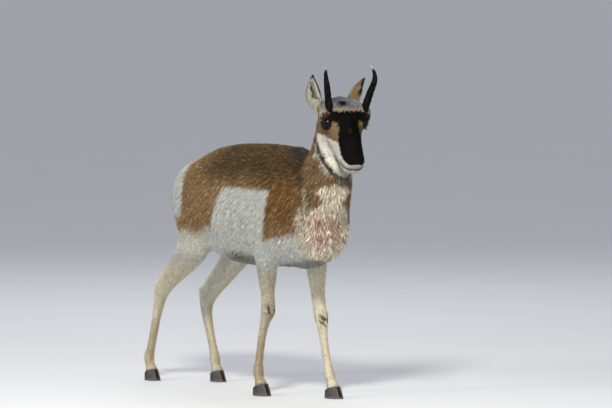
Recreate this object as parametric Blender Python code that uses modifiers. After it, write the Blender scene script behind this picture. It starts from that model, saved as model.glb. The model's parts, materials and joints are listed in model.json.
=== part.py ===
"""A life-size pronghorn buck, standing with its head turned, as a museum's still model.

Points on the animal are written as (forward, left, up) in metres from a spot on the
floor between the elbows. The animal faces -Y, its left is +X and +Z is up. At the end
everything is shifted so that the origin lies on the floor under the middle of the box.
"""

import math

import bmesh
import bpy
import numpy as np
from mathutils import Matrix, Vector

# Driving sizes of the animal, in metres
WITHERS_HEIGHT = 0.862
JOIN_GAP = 0.0003
EYE_RADIUS = 0.0225
EYE_RIM_POINTS = 24
# How far the eye opens to each corner, up and down, as angles from its middle
EYE_REACH = (math.radians(53), math.radians(40), math.radians(25))
LID_RADIUS = 0.0032
# How far the mouth lies below the bridge of the nose
MOUTH_DROP = 0.0375
# How much narrower a claw of a hoof gets towards its toe
TOE_TAPER = 0.60
HORN_ROOT_DEPTH = 0.022
EAR_THICKNESS = 0.0024
EAR_BOW = 0.008
TAIL_LENGTH = 0.105
NAPE_BEND = -0.006

# The head has its own frame: x along the bridge of the nose, y left, z up, origin between the eyes
HEAD_CENTRE = (0.3386, -0.020, 0.948)
HEAD_YAW = math.radians(18)
HEAD_PITCH = math.radians(42)
EYE_PLACE = (-0.002, 0.0580, 0.004)

# Mesh fineness: the whole skin is made coarser twice, once for the head and once for the rest
VOXEL = 0.0044
BODY_TRIANGLES = 4600
HEAD_TRIANGLES = 21500
RING_POINTS = 28

SIDES = {"right": -1.0, "left": 1.0}

FUR_BROWN = (0.36, 0.22, 0.12)
FUR_TAN = (0.52, 0.36, 0.21)
FUR_WHITE = (0.80, 0.76, 0.68)
HORN_BLACK = (0.025, 0.022, 0.020)
HOOF_BLACK = (0.040, 0.034, 0.030)
EYE_BLACK = (0.012, 0.008, 0.006)


def place(forward, left, up):
    """A point of the animal as a point of the model."""
    return Vector((left, -forward, up))


def head_matrix(pitch=HEAD_PITCH):
    """Carries a point of the head's own frame, or with no pitch of the level head's, into the model."""
    flat = place(math.cos(HEAD_YAW), -math.sin(HEAD_YAW), 0.0)
    nose = flat * math.cos(pitch) - Vector((0, 0, math.sin(pitch)))
    left = Vector((0, 0, 1)).cross(flat)
    up = nose.cross(left)
    turn = Matrix((nose, left, up)).transposed().to_4x4()
    return Matrix.Translation(place(*HEAD_CENTRE)) @ turn


def collection(name):
    """The collection of that name, made when it is first asked for."""
    found = bpy.data.collections.get(name)
    if found is None:
        found = bpy.data.collections.new(name)
        bpy.context.scene.collection.children.link(found)
    return found


def move_to(obj, where):
    """Puts an object in the collection of that name and in no other."""
    for old in list(obj.users_collection):
        old.objects.unlink(obj)
    collection(where).objects.link(obj)
    return obj


def mesh_object(name, points, faces, where="forms"):
    """A mesh object with its faces pointing outwards."""
    mesh = bpy.data.meshes.new(name)
    mesh.from_pydata([tuple(p) for p in points], [], faces)
    form = bmesh.new()
    form.from_mesh(mesh)
    bmesh.ops.recalc_face_normals(form, faces=form.faces)
    form.to_mesh(mesh)
    form.free()
    obj = bpy.data.objects.new(name, mesh)
    collection(where).objects.link(obj)
    return obj


def copy_of(source, name, where="pronghorn"):
    """A second object with a mesh of its own."""
    obj = source.copy()
    obj.data = source.data.copy()
    obj.name = name
    collection(where).objects.link(obj)
    return move_to(obj, where)


def bake(obj):
    """Turns an object's modifiers into plain mesh."""
    bpy.context.view_layer.update()
    graph = bpy.context.evaluated_depsgraph_get()
    mesh = bpy.data.meshes.new_from_object(obj.evaluated_get(graph), depsgraph=graph)
    obj.modifiers.clear()
    obj.data = mesh


def triangulate(obj):
    """Splits every face the same way each time, so that a larger copy stays parallel to it."""
    form = bmesh.new()
    form.from_mesh(obj.data)
    bmesh.ops.triangulate(form, faces=form.faces, quad_method="FIXED", ngon_method="EAR_CLIP")
    form.to_mesh(obj.data)
    form.free()


def keep_largest(obj):
    """Keeps the largest closed surface of a mesh and drops loose scraps and sealed hollows."""
    form = bmesh.new()
    form.from_mesh(obj.data)
    left = set(form.faces)
    islands = []
    while left:
        stack = [left.pop()]
        island = []
        while stack:
            face = stack.pop()
            island.append(face)
            for edge in face.edges:
                for other in edge.link_faces:
                    if other in left:
                        left.remove(other)
                        stack.append(other)
        islands.append(island)
    largest = max(islands, key=len)
    for island in islands:
        if island is not largest:
            bmesh.ops.delete(form, geom=island, context="FACES")
    form.to_mesh(obj.data)
    form.free()


def combine(obj, tools, operation, solver="EXACT"):
    """Unites obj with the tools, or cuts it with them, and removes the tools."""
    folder = "tools_" + obj.name
    for tool in tools:
        move_to(tool, folder)
    step = obj.modifiers.new(operation.title(), "BOOLEAN")
    step.operation = operation
    step.solver = solver
    step.operand_type = "COLLECTION"
    step.collection = collection(folder)
    bake(obj)
    for tool in tools:
        bpy.data.objects.remove(tool)
    bpy.data.collections.remove(collection(folder))
    keep_largest(obj)
    return obj


def smooth_rows(rows, steps):
    """Rows of numbers, with steps - 1 more rows on a smooth curve in each gap."""
    table = np.array(rows, float)
    ends = np.vstack([2 * table[0] - table[1], table, 2 * table[-1] - table[-2]])
    made = []
    for i in range(1, len(ends) - 2):
        before, here, after, beyond = ends[i - 1 : i + 3]
        for t in np.arange(steps) / steps:
            linear = after - before
            square = 2 * before - 5 * here + 4 * after - beyond
            cube = 3 * here - before - 3 * after + beyond
            made.append(here + 0.5 * (linear * t + square * t**2 + cube * t**3))
    made.append(table[-1])
    return np.array(made)


def ring(centre, side, rise_axis, half_width, rise, drop, power=2.0, count=RING_POINTS):
    """A closed section round a centre. Rise and drop are its reach along rise_axis each way."""
    points = []
    for i in range(count):
        angle = 2 * math.pi * i / count
        across, along = math.cos(angle), math.sin(angle)
        reach = rise if along > 0 else drop
        points.append(
            centre
            + side * (half_width * math.copysign(abs(across) ** (2 / power), across))
            + rise_axis * (reach * math.copysign(abs(along) ** (2 / power), along))
        )
    return points


def loft(name, rings, where="forms"):
    """A closed skin over a row of rings that have the same number of points."""
    count = len(rings[0])
    points = [p for r in rings for p in r]
    faces = []
    for i in range(len(rings) - 1):
        for j in range(count):
            k = (j + 1) % count
            faces.append((i * count + j, i * count + k, (i + 1) * count + k, (i + 1) * count + j))
    faces.append(tuple(range(count)))
    faces.append(tuple(range((len(rings) - 1) * count, len(rings) * count)))
    return mesh_object(name, points, faces, where)


def ball(name, centre, radii, turn, segments=24, rings=14, where="forms"):
    """An ellipsoid whose centre and axes are those of the matrix turn."""
    bpy.ops.mesh.primitive_uv_sphere_add(segments=segments, ring_count=rings, radius=1.0)
    obj = move_to(bpy.context.object, where)
    obj.name = name
    obj.data.transform(turn @ Matrix.Translation(Vector(centre)) @ Matrix.Diagonal((*radii, 1.0)))
    return obj


def limb(name, stations, power=2.1, steps=4, where="forms", count=RING_POINTS):
    """A limb: rows of forward, left, up, then reach to the front, to the back and to each side."""
    rows = smooth_rows(stations, steps)
    centres = [place(*row[:3]) for row in rows]
    rings = []
    for i, row in enumerate(rows):
        ahead = centres[min(i + 1, len(rows) - 1)]
        behind = centres[max(i - 1, 0)]
        along = (ahead - behind).normalized()
        side = Vector((1, 0, 0))
        side = (side - along * side.dot(along)).normalized()
        front = side.cross(along)
        if front.dot(place(1, 0, 0.35)) < 0:
            front = -front
        rings.append(ring(centres[i], side, front, row[5], row[3], row[4], power, count))
    return loft(name, rings, where)


# The animal's axes as a matrix, for forms placed by forward, left and up
ANIMAL = Matrix(((0, 1, 0, 0), (-1, 0, 0, 0), (0, 0, 1, 0), (0, 0, 0, 1)))


def trunk_form():
    """The trunk: forward, back line, height of the widest place, belly line, half width."""
    stations = [
        (0.246, 0.650, 0.595, 0.548, 0.030),
        (0.236, 0.700, 0.600, 0.512, 0.072),
        (0.200, 0.755, 0.605, 0.480, 0.104),
        (0.140, 0.812, 0.612, 0.460, 0.126),
        (0.070, WITHERS_HEIGHT - 0.010, 0.620, 0.448, 0.138),
        (-0.010, WITHERS_HEIGHT, 0.628, 0.445, 0.143),
        (-0.100, WITHERS_HEIGHT + 0.004, 0.625, 0.443, 0.154),
        (-0.200, WITHERS_HEIGHT + 0.005, 0.620, 0.440, 0.168),
        (-0.300, WITHERS_HEIGHT + 0.002, 0.625, 0.447, 0.168),
        (-0.400, 0.850, 0.635, 0.480, 0.154),
        (-0.480, 0.822, 0.645, 0.500, 0.140),
        (-0.555, 0.780, 0.650, 0.530, 0.122),
        (-0.615, 0.722, 0.645, 0.560, 0.095),
        (-0.648, 0.672, 0.635, 0.600, 0.055),
    ]
    rings = []
    for forward, top, middle, bottom, half_width in smooth_rows(stations, 4):
        centre = place(forward, 0, middle)
        rise, drop = top - middle, middle - bottom
        rings.append(ring(centre, Vector((1, 0, 0)), Vector((0, 0, 1)), half_width, rise, drop, 2.15, 40))
    return loft("trunk", rings)


def neck_form():
    """The neck: height, back line, throat line, half width and how far it bends to the side."""
    stations = [
        (0.560, -0.030, 0.238, 0.110, 0.000),
        (0.620, 0.000, 0.260, 0.112, 0.000),
        (0.680, 0.034, 0.276, 0.106, 0.000),
        (0.740, 0.075, 0.292, 0.099, 0.000),
        (0.800, 0.124, 0.300, 0.089, -0.002),
        (0.860, 0.170, 0.306, 0.075, -0.004),
        (0.910, 0.198, 0.312, 0.069, -0.008),
        (0.960, 0.220, 0.322, 0.063, -0.014),
        (1.000, 0.240, 0.322, 0.047, -0.016),
    ]
    rings = []
    for height, back, throat, half_width, bend in smooth_rows(stations, 4):
        centre = place((back + throat) / 2, bend, height)
        reach = (throat - back) / 2
        rings.append(ring(centre, Vector((1, 0, 0)), place(1, 0, 0), half_width, reach, reach))
    return loft("neck", rings)


# Along the nose, top, height of the widest place, bottom and half width of the head
HEAD_STATIONS = [
    (-0.124, 0.000, -0.016, -0.040, 0.022),
    (-0.110, 0.022, -0.012, -0.072, 0.044),
    (-0.082, 0.041, -0.004, -0.095, 0.060),
    (-0.045, 0.054, 0.002, -0.105, 0.067),
    (-0.015, 0.052, 0.002, -0.105, 0.067),
    (0.015, 0.042, -0.010, -0.101, 0.059),
    (0.040, 0.033, -0.022, -0.096, 0.053),
    (0.065, 0.026, -0.031, -0.090, 0.047),
    (0.090, 0.020, -0.034, -0.084, 0.0430),
    (0.120, 0.014, -0.034, -0.078, 0.0400),
    (0.145, 0.010, -0.033, -0.074, 0.0380),
    (0.163, 0.005, -0.031, -0.067, 0.0345),
    (0.175, -0.004, -0.029, -0.055, 0.0270),
    (0.181, -0.014, -0.027, -0.042, 0.0140),
]
# Swellings of the left half of the head, mirrored to the right: centre, radius and height
HEAD_SWELLINGS = [
    ((-0.008, 0.068, 0.006), 0.0300, 0.0160),
    ((-0.022, 0.062, 0.034), 0.0270, 0.0230),
    ((-0.072, 0.062, 0.008), 0.0260, 0.0200),
    ((-0.050, 0.058, -0.060), 0.0420, 0.0090),
    ((0.032, 0.056, 0.002), 0.0200, -0.0050),
    ((0.050, 0.048, -0.045), 0.0300, 0.0030),
    ((0.168, 0.021, -0.010), 0.0130, 0.0050),
    ((0.146, 0.033, -0.046), 0.0200, 0.0035),
    ((0.160, 0.008, -0.064), 0.0180, 0.0060),
    ((0.110, 0.030, 0.010), 0.0240, 0.0015),
]


def head_form(frame):
    """The skull and muzzle, a loft whose surface swells at the orbits, cheeks, lips and nostrils."""
    rings = []
    for along, top, middle, bottom, half_width in smooth_rows(HEAD_STATIONS, 5):
        section = ring(
            Vector((along, 0, middle)),
            Vector((0, 1, 0)),
            Vector((0, 0, 1)),
            half_width,
            top - middle,
            middle - bottom,
            2.5,
            56,
        )
        moved = []
        for point in section:
            outward = (point - Vector((along, 0, middle))).normalized()
            rise = 0.0
            for centre, radius, height in HEAD_SWELLINGS:
                for sign in SIDES.values():
                    apart = (point - Vector((centre[0], centre[1] * sign, centre[2]))).length
                    rise += height * math.exp(-((apart / radius) ** 2))
            moved.append(frame @ (point + outward * rise))
        rings.append(moved)
    return loft("skull", rings)


# Each leg from the body down: forward, up, reach to the front, to the back, to each side, and left
FORE_TOP = [
    (0.030, 0.790, 0.045, 0.055, 0.026, 0.086),
    (0.050, 0.715, 0.080, 0.085, 0.040, 0.096),
    (0.056, 0.645, 0.092, 0.105, 0.046, 0.104),
    (0.042, 0.575, 0.080, 0.098, 0.047, 0.106),
    (0.015, 0.520, 0.056, 0.076, 0.043, 0.103),
]
FORE_LOW = {
    "right": [
        (-0.008, 0.470, 0.044, 0.056, 0.037, 0.097),
        (-0.014, 0.415, 0.036, 0.040, 0.029, 0.094),
        (-0.017, 0.360, 0.029, 0.030, 0.0235, 0.091),
        (-0.018, 0.318, 0.028, 0.026, 0.0235, 0.089),
        (-0.022, 0.295, 0.029, 0.025, 0.0240, 0.088),
        (-0.034, 0.268, 0.020, 0.021, 0.0185, 0.087),
        (-0.052, 0.230, 0.0160, 0.0175, 0.0140, 0.085),
        (-0.070, 0.175, 0.0150, 0.0165, 0.0130, 0.083),
        (-0.084, 0.120, 0.0155, 0.0170, 0.0135, 0.080),
        (-0.092, 0.086, 0.0195, 0.0220, 0.0180, 0.078),
        (-0.088, 0.058, 0.0165, 0.0175, 0.0175, 0.077),
        (-0.080, 0.034, 0.0230, 0.0230, 0.0230, 0.075),
        (-0.077, 0.016, 0.0240, 0.0230, 0.0240, 0.075),
    ],
    "left": [
        (0.008, 0.470, 0.044, 0.054, 0.037, 0.096),
        (0.016, 0.415, 0.037, 0.040, 0.030, 0.093),
        (0.025, 0.360, 0.030, 0.031, 0.0240, 0.090),
        (0.038, 0.305, 0.0255, 0.026, 0.0220, 0.088),
        (0.049, 0.272, 0.0265, 0.024, 0.0235, 0.087),
        (0.058, 0.243, 0.020, 0.021, 0.0185, 0.086),
        (0.068, 0.205, 0.0160, 0.0175, 0.0140, 0.084),
        (0.083, 0.158, 0.0150, 0.0165, 0.0130, 0.082),
        (0.099, 0.112, 0.0155, 0.0165, 0.0135, 0.079),
        (0.110, 0.082, 0.0190, 0.0215, 0.0180, 0.078),
        (0.123, 0.056, 0.0165, 0.0175, 0.0175, 0.077),
        (0.137, 0.034, 0.0230, 0.0230, 0.0230, 0.075),
        (0.141, 0.016, 0.0240, 0.0230, 0.0240, 0.075),
    ],
}
HIND_TOP = [
    (-0.420, 0.780, 0.055, 0.070, 0.030, 0.070),
    (-0.430, 0.705, 0.100, 0.118, 0.043, 0.086),
    (-0.425, 0.620, 0.108, 0.130, 0.050, 0.098),
]
HIND_LOW = {
    "right": [
        (-0.432, 0.545, 0.090, 0.124, 0.049, 0.104),
        (-0.464, 0.488, 0.062, 0.088, 0.043, 0.103),
        (-0.520, 0.440, 0.046, 0.060, 0.037, 0.101),
        (-0.590, 0.392, 0.036, 0.046, 0.030, 0.098),
        (-0.648, 0.350, 0.030, 0.043, 0.0250, 0.096),
        (-0.686, 0.312, 0.025, 0.032, 0.0225, 0.094),
        (-0.704, 0.270, 0.0190, 0.0205, 0.0180, 0.092),
        (-0.725, 0.215, 0.0160, 0.0180, 0.0145, 0.090),
        (-0.749, 0.155, 0.0155, 0.0170, 0.0140, 0.087),
        (-0.768, 0.110, 0.0165, 0.0175, 0.0150, 0.085),
        (-0.777, 0.084, 0.0195, 0.0215, 0.0180, 0.085),
        (-0.773, 0.058, 0.0165, 0.0175, 0.0175, 0.084),
        (-0.764, 0.034, 0.0230, 0.0230, 0.0225, 0.083),
        (-0.761, 0.016, 0.0240, 0.0230, 0.0235, 0.083),
    ],
    "left": [
        (-0.436, 0.545, 0.090, 0.120, 0.049, 0.104),
        (-0.472, 0.480, 0.062, 0.084, 0.043, 0.102),
        (-0.530, 0.418, 0.046, 0.056, 0.037, 0.099),
        (-0.592, 0.366, 0.040, 0.047, 0.031, 0.096),
        (-0.642, 0.324, 0.036, 0.045, 0.0260, 0.094),
        (-0.668, 0.284, 0.029, 0.036, 0.0235, 0.093),
        (-0.667, 0.240, 0.0200, 0.0255, 0.0180, 0.091),
        (-0.650, 0.190, 0.0165, 0.0185, 0.0150, 0.089),
        (-0.629, 0.140, 0.0155, 0.0175, 0.0140, 0.087),
        (-0.614, 0.105, 0.0165, 0.0175, 0.0150, 0.085),
        (-0.606, 0.082, 0.0195, 0.0215, 0.0180, 0.084),
        (-0.598, 0.057, 0.0165, 0.0175, 0.0175, 0.083),
        (-0.588, 0.034, 0.0230, 0.0230, 0.0225, 0.082),
        (-0.584, 0.016, 0.0240, 0.0230, 0.0235, 0.082),
    ],
}
# The point of the hock stands up behind the joint: its root and its tip, forward and up
HOCK_POINTS = {"right": ((-0.680, 0.318), (-0.706, 0.368)), "left": ((-0.676, 0.288), (-0.710, 0.334))}
# Share of that length, then its half size there
HOCK_SHAPE = ((0.0, 0.0240), (0.4, 0.0210), (0.8, 0.0165), (1.0, 0.0100))

# The lower legs start just under the knee and the hock: forward and up
KNEES = {"right": (-0.034, 0.268), "left": (0.058, 0.243)}
HOCKS = {"right": (-0.704, 0.272), "left": (-0.668, 0.245)}

# Feet: forward and left of the coronet's middle, then the sole's length and each claw's half width
FEET = {
    "fore_right": (-0.079, -0.075, 0.076, 0.0135),
    "fore_left": (0.139, 0.075, 0.076, 0.0135),
    "hind_right": (-0.763, -0.083, 0.068, 0.0125),
    "hind_left": (-0.586, 0.082, 0.068, 0.0125),
}
CORONET_HEIGHT = 0.034
CORONET_SLOPE = 0.36


def leg_forms():
    """The four legs, each one limb from the shoulder or hip to the coronet."""
    forms = []
    for side, sign in SIDES.items():
        for name, top, low in (("fore", FORE_TOP, FORE_LOW[side]), ("hind", HIND_TOP, HIND_LOW[side])):
            rows = []
            for forward, up, front, back, half_width, left in top + low:
                rows.append((forward, left * sign, up, front, back, half_width))
            forms.append(limb(f"{name}_leg_{side}", rows))
        root, tip = HOCK_POINTS[side]
        stations = []
        for share, radius in HOCK_SHAPE:
            forward = root[0] + share * (tip[0] - root[0])
            up = root[1] + share * (tip[1] - root[1])
            stations.append((forward, sign * 0.094, up, radius, radius, radius * 0.85))
        forms.append(limb(f"hock_point_{side}", stations))
    return forms


def muscle_forms():
    """Swellings that round the trunk: breast, haunches, buttocks, elbows and the fold of the flank."""
    forms = [
        ball("breast", (0.172, 0.0, 0.560), (0.082, 0.096, 0.092), ANIMAL),
        ball("brisket", (0.080, 0.0, 0.490), (0.110, 0.062, 0.048), ANIMAL),
        ball("sheath", (-0.345, 0.0, 0.457), (0.055, 0.020, 0.020), ANIMAL),
    ]
    paired = {
        "haunch": ((-0.480, 0.066, 0.690), (0.130, 0.068, 0.110)),
        "buttock": ((-0.560, 0.056, 0.645), (0.084, 0.054, 0.102)),
        "flank": ((-0.352, 0.112, 0.570), (0.070, 0.036, 0.066)),
        "elbow": ((-0.048, 0.100, 0.500), (0.030, 0.026, 0.036)),
    }
    for side, sign in SIDES.items():
        for name, (centre, radii) in paired.items():
            forms.append(ball(f"{name}_{side}", (centre[0], centre[1] * sign, centre[2]), radii, ANIMAL))
    return forms


def skin_points(obj):
    """The points of a mesh, and its edges as pairs of point numbers."""
    mesh = obj.data
    points = np.empty(len(mesh.vertices) * 3)
    mesh.vertices.foreach_get("co", points)
    edges = np.empty(len(mesh.edges) * 2, int)
    mesh.edges.foreach_get("vertices", edges)
    return points.reshape(-1, 3), edges.reshape(-1, 2)


def neighbour_mean(points, edges, links):
    """For each point, the mean place of the points it shares an edge with."""
    total = np.empty_like(points)
    for axis in range(3):
        first = np.bincount(edges[:, 0], points[edges[:, 1], axis], len(points))
        second = np.bincount(edges[:, 1], points[edges[:, 0], axis], len(points))
        total[:, axis] = first + second
    return total / links


def fill_creases(obj, passes=70, share=0.9):
    """Rounds the hollows where forms meet, least at the head and feet, and leaves the swellings."""
    points, edges = skin_points(obj)
    links = np.bincount(edges.ravel(), minlength=len(points))[:, None]
    normals = np.empty(points.size)
    below_head = np.clip((0.90 - points[:, 2:3]) / 0.06, 0.25, 1)
    above_knee = np.clip((points[:, 2:3] - 0.36) / 0.08, 0.15, 1)
    for step in range(passes):
        if step % 10 == 0:
            obj.data.vertices.foreach_set("co", points.ravel())
            obj.data.update()
            obj.data.vertices.foreach_get("normal", normals)
        outward = normals.reshape(-1, 3)
        lift = ((neighbour_mean(points, edges, links) - points) * outward).sum(1, keepdims=True)
        points += outward * np.clip(lift, 0, None) * share * below_head * above_knee
    obj.data.vertices.foreach_set("co", points.ravel())
    obj.data.update()


def round_creases(obj, passes=24, pull=0.62, push=-0.64):
    """Smooths a mesh without shrinking it, by pulling points in and pushing them out in turn."""
    points, edges = skin_points(obj)
    links = np.bincount(edges.ravel(), minlength=len(points))[:, None]
    for step in range(2 * passes):
        change = neighbour_mean(points, edges, links) - points
        points += (pull if step % 2 == 0 else push) * change
    obj.data.vertices.foreach_set("co", points.ravel())
    obj.data.update()


def fuse(name, forms):
    """One closed skin over forms that overlap, with the creases between them rounded."""
    hull = bmesh.new()
    for form in forms:
        hull.from_mesh(form.data)
        bpy.data.objects.remove(form)
    mesh = bpy.data.meshes.new(name)
    hull.to_mesh(mesh)
    hull.free()
    obj = bpy.data.objects.new(name, mesh)
    collection("forms").objects.link(obj)
    remesh = obj.modifiers.new("Remesh", "REMESH")
    remesh.mode = "VOXEL"
    remesh.voxel_size = VOXEL
    bake(obj)
    keep_largest(obj)
    fill_creases(obj)
    round_creases(obj)
    return obj


def coarser(source, name, triangles):
    """A copy of the skin with about that many triangles."""
    obj = copy_of(source, name)
    count = sum(len(face.vertices) - 2 for face in obj.data.polygons)
    step = obj.modifiers.new("Decimate", "DECIMATE")
    step.ratio = triangles / count
    bake(obj)
    keep_largest(obj)
    return obj


def block(name, corner, sizes, grown=0.0, slope=0.0):
    """A cutting block that reaches forward, left and up from a corner. Slope drops it towards the front."""
    bpy.ops.mesh.primitive_cube_add(size=1.0)
    obj = bpy.context.object
    obj.name = name
    obj.hide_render = True
    obj.display_type = "WIRE"
    centre = Vector([c + s / 2 for c, s in zip(corner, sizes)])
    scale = Matrix.Diagonal([s + 2 * grown for s in sizes] + [1.0])
    shear = Matrix.Identity(4)
    shear[2][0] = -slope
    about = Matrix.Translation(Vector(corner))
    obj.data.transform(ANIMAL @ about @ shear @ about.inverted() @ Matrix.Translation(centre) @ scale)
    return obj


# The sleeves that part each leg from the trunk: forward, up, reach to the front, back and each side,
# and then the spot in the dome that a slightly larger sleeve grows from
LEG_SLEEVES = {
    "fore": (
        [
            (0.004, 0.548, 0.020, 0.020, 0.020),
            (0.004, 0.540, 0.050, 0.052, 0.042),
            (0.000, 0.510, 0.075, 0.078, 0.064),
            (0.000, 0.450, 0.090, 0.090, 0.074),
            (0.000, 0.300, 0.140, 0.120, 0.076),
            (0.030, -0.050, 0.200, 0.200, 0.076),
        ],
        (0.002, 0.480),
    ),
    "hind": (
        [
            (-0.470, 0.640, 0.025, 0.025, 0.020),
            (-0.472, 0.630, 0.090, 0.090, 0.042),
            (-0.480, 0.590, 0.130, 0.140, 0.066),
            (-0.500, 0.520, 0.150, 0.160, 0.074),
            (-0.580, 0.400, 0.160, 0.180, 0.076),
            (-0.660, 0.250, 0.180, 0.180, 0.076),
            (-0.690, -0.050, 0.200, 0.200, 0.076),
        ],
        (-0.490, 0.560),
    ),
}
SLEEVE_LEFT = 0.108
SLEEVE_GROWTH = 1.006


def take(source, name, region, grown_region):
    """The part of source inside a region becomes a node, with a thin gap to what is left."""
    piece = copy_of(source, name)
    combine(piece, [region], "INTERSECT")
    combine(source, [grown_region], "DIFFERENCE")
    return piece


def head_region(grown=0.0):
    """The space of the head: behind it the nape, under it the line of the jaw."""
    return block("head_region", (0.246, -0.30, 0.868), (0.40, 0.60, 0.60), grown, 0.72)


def neck_region(grown=0.0):
    """The space above a slanting plane from the withers to the breast."""
    bpy.ops.mesh.primitive_cube_add(size=1.0)
    obj = bpy.context.object
    lean = math.radians(47)
    up = place(math.sin(lean), 0.0, math.cos(lean))
    turn = up.to_track_quat("Z", "Y").to_matrix().to_4x4()
    centre = place(0.098, 0.0, 0.755) + up * (0.5 - grown)
    obj.data.transform(Matrix.Translation(centre) @ turn)
    return obj


def leg_region(name, side, size=1.0):
    """A sleeve round one leg, from a dome inside the trunk to below the floor."""
    rows, middle = LEG_SLEEVES[name]
    left = SIDES[side] * SLEEVE_LEFT
    stations = [(forward, left, up, front, back, half) for forward, up, front, back, half in rows]
    sleeve = limb(f"{name}_region", stations, 2.6, 1, "forms", 14)
    triangulate(sleeve)
    about = Matrix.Translation(place(middle[0], left, middle[1]))
    sleeve.data.transform(about @ Matrix.Scale(size, 4) @ about.inverted())
    return sleeve


def cannon_region(place_of_joint, side, grown=0.0):
    """A block round a lower leg, up to the knee or hock."""
    forward, height = place_of_joint
    left = SIDES[side] * 0.085
    return block("cannon_region", (forward - 0.15, left - 0.07, -0.10), (0.30, 0.14, height + 0.10), grown)


def coronet_height(forward, foot_forward):
    """The top of the hoof, which is higher in front."""
    return CORONET_HEIGHT + CORONET_SLOPE * (forward - foot_forward)


def cut_nodes(body):
    """Parts the skin into neck, trunk, upper legs and lower legs."""
    nodes = {}
    for side in SIDES:
        for name, joint in (("fore", KNEES[side]), ("hind", HOCKS[side])):
            lower = f"{name}_cannon_{side}"
            nodes[lower] = take(
                body, lower, cannon_region(joint, side), cannon_region(joint, side, JOIN_GAP)
            )
            foot_forward, foot_left, _, _ = FEET[f"{name}_{side}"]
            sole = block(
                "hoof_space",
                (foot_forward - 0.10, foot_left - 0.10, CORONET_HEIGHT - 0.30 - CORONET_SLOPE * 0.10),
                (0.20, 0.20, 0.30),
                slope=-CORONET_SLOPE,
            )
            combine(nodes[lower], [sole], "DIFFERENCE")
        for name in ("fore", "hind"):
            upper = f"{name}_leg_{side}"
            nodes[upper] = take(
                body, upper, leg_region(name, side), leg_region(name, side, SLEEVE_GROWTH)
            )
    nodes["neck"] = take(body, "neck", neck_region(), neck_region(JOIN_GAP))
    body.name = "torso"
    nodes["torso"] = body
    return nodes


def swollen(source, distance):
    """A copy of a closed form whose skin is moved outwards by a distance."""
    obj = copy_of(source, source.name + "_swollen", "forms")
    points, _ = skin_points(obj)
    normals = np.empty(points.size)
    obj.data.vertices.foreach_get("normal", normals)
    points += normals.reshape(-1, 3) * distance
    obj.data.vertices.foreach_set("co", points.ravel())
    return obj


def clear_of(obj, neighbour):
    """Cuts a piece back to the surface it grows from, less the gap."""
    return combine(obj, [swollen(neighbour, JOIN_GAP)], "DIFFERENCE", "MANIFOLD")


def eye_gaze(sign):
    """Where an eye looks, in the head's frame: outwards and a little to the front."""
    return Vector((0.62, sign, 0.04)).normalized()


def eye_forms(frame):
    """The two eyeballs."""
    eyes = {}
    for side, sign in SIDES.items():
        centre = (EYE_PLACE[0], EYE_PLACE[1] * sign, EYE_PLACE[2])
        radii = (EYE_RADIUS,) * 3
        eyes[side] = ball(f"eye_{side}", centre, radii, frame, 18, 10, "pronghorn")
    return eyes


def almond(sign, size):
    """Directions from the eye's centre to the rim of its opening, which is pointed at both corners."""
    gaze = eye_gaze(sign)
    level = (Vector((1, 0, 0)) - gaze * gaze.x).normalized()
    rise = level.cross(gaze) * -sign
    aims = []
    for i in range(EYE_RIM_POINTS):
        turn = 2 * math.pi * i / EYE_RIM_POINTS
        wide = size * EYE_REACH[0] * math.cos(turn)
        high = size * (EYE_REACH[1] if math.sin(turn) > 0 else EYE_REACH[2]) * math.sin(turn)
        high *= 1 - 0.22 * math.cos(turn) ** 2
        aims.append((gaze + level * math.tan(wide) * 0.92 + rise * math.tan(high)).normalized())
    return aims


def eye_opening(frame, sign):
    """The space in front of an eye, inside the rims of its lids."""
    centre = Vector((EYE_PLACE[0], EYE_PLACE[1] * sign, EYE_PLACE[2]))
    rings = []
    for reach in (0.55, 1.0, 1.9):
        rings.append([frame @ (centre + aim * (EYE_RADIUS * reach)) for aim in almond(sign, 0.93)])
    return loft("eye_opening", rings)


def lid_form(frame, sign):
    """The rims of both lids: a loop round the eye's almond opening."""
    centre = Vector((EYE_PLACE[0], EYE_PLACE[1] * sign, EYE_PLACE[2]))
    middles = [centre + aim * (EYE_RADIUS + 0.0006) for aim in almond(sign, 1.0)]
    count = len(middles)
    rings = []
    for i, middle in enumerate(middles):
        along = (middles[(i + 1) % count] - middles[i - 1]).normalized()
        out = (middle - centre).normalized()
        side = along.cross(out)
        section = ring(middle, side, out, LID_RADIUS * 1.25, LID_RADIUS, LID_RADIUS, 2, 8)
        rings.append([frame @ p for p in section])
    points = [p for r in rings for p in r]
    faces = []
    for i in range(count):
        for j in range(8):
            a, b = i * 8, (i + 1) % count * 8
            k = (j + 1) % 8
            faces.append((a + j, a + k, b + k, b + j))
    return mesh_object("lids", points, faces)


def mouth_form(frame, head):
    """A thin band that follows the muzzle's surface along the line of the mouth."""
    outline = []
    for i in range(-7, 8):
        turn = i / 7 * math.radians(104)
        aim = frame.to_3x3() @ Vector((math.cos(turn), math.sin(turn) * 0.80, 0.0)).normalized()
        back = max(0.0, 1 - math.cos(turn))
        start = frame @ Vector((0.128, 0.0, -MOUTH_DROP - 0.0035 * back))
        hit, where, _, _ = head.ray_cast(start, aim)
        if hit:
            outline.append((where, aim))
    up = frame.to_3x3() @ Vector((0, 0, 1))
    rings = []
    for i, (where, aim) in enumerate(outline):
        share = abs(i / (len(outline) - 1) * 2 - 1)
        tall = 0.0013 * (1 - 0.45 * share)
        deep = 0.0042 * (1 - 0.55 * share)
        rings.append(ring(where, aim, up, deep, tall, tall, 1.6, 8))
    return loft("mouth", rings)


def nostril_form(frame, sign):
    """The hollow of one nostril, slanting up and out."""
    turn = frame @ Matrix.Translation(Vector((0.1715, sign * 0.0185, -0.0115)))
    turn = turn @ Matrix.Rotation(math.radians(-38 * sign), 4, "Z")
    turn = turn @ Matrix.Rotation(math.radians(38), 4, "Y")
    return ball("nostril", (0, 0, 0), (0.0095, 0.0045, 0.0042), turn, 12, 8)


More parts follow.
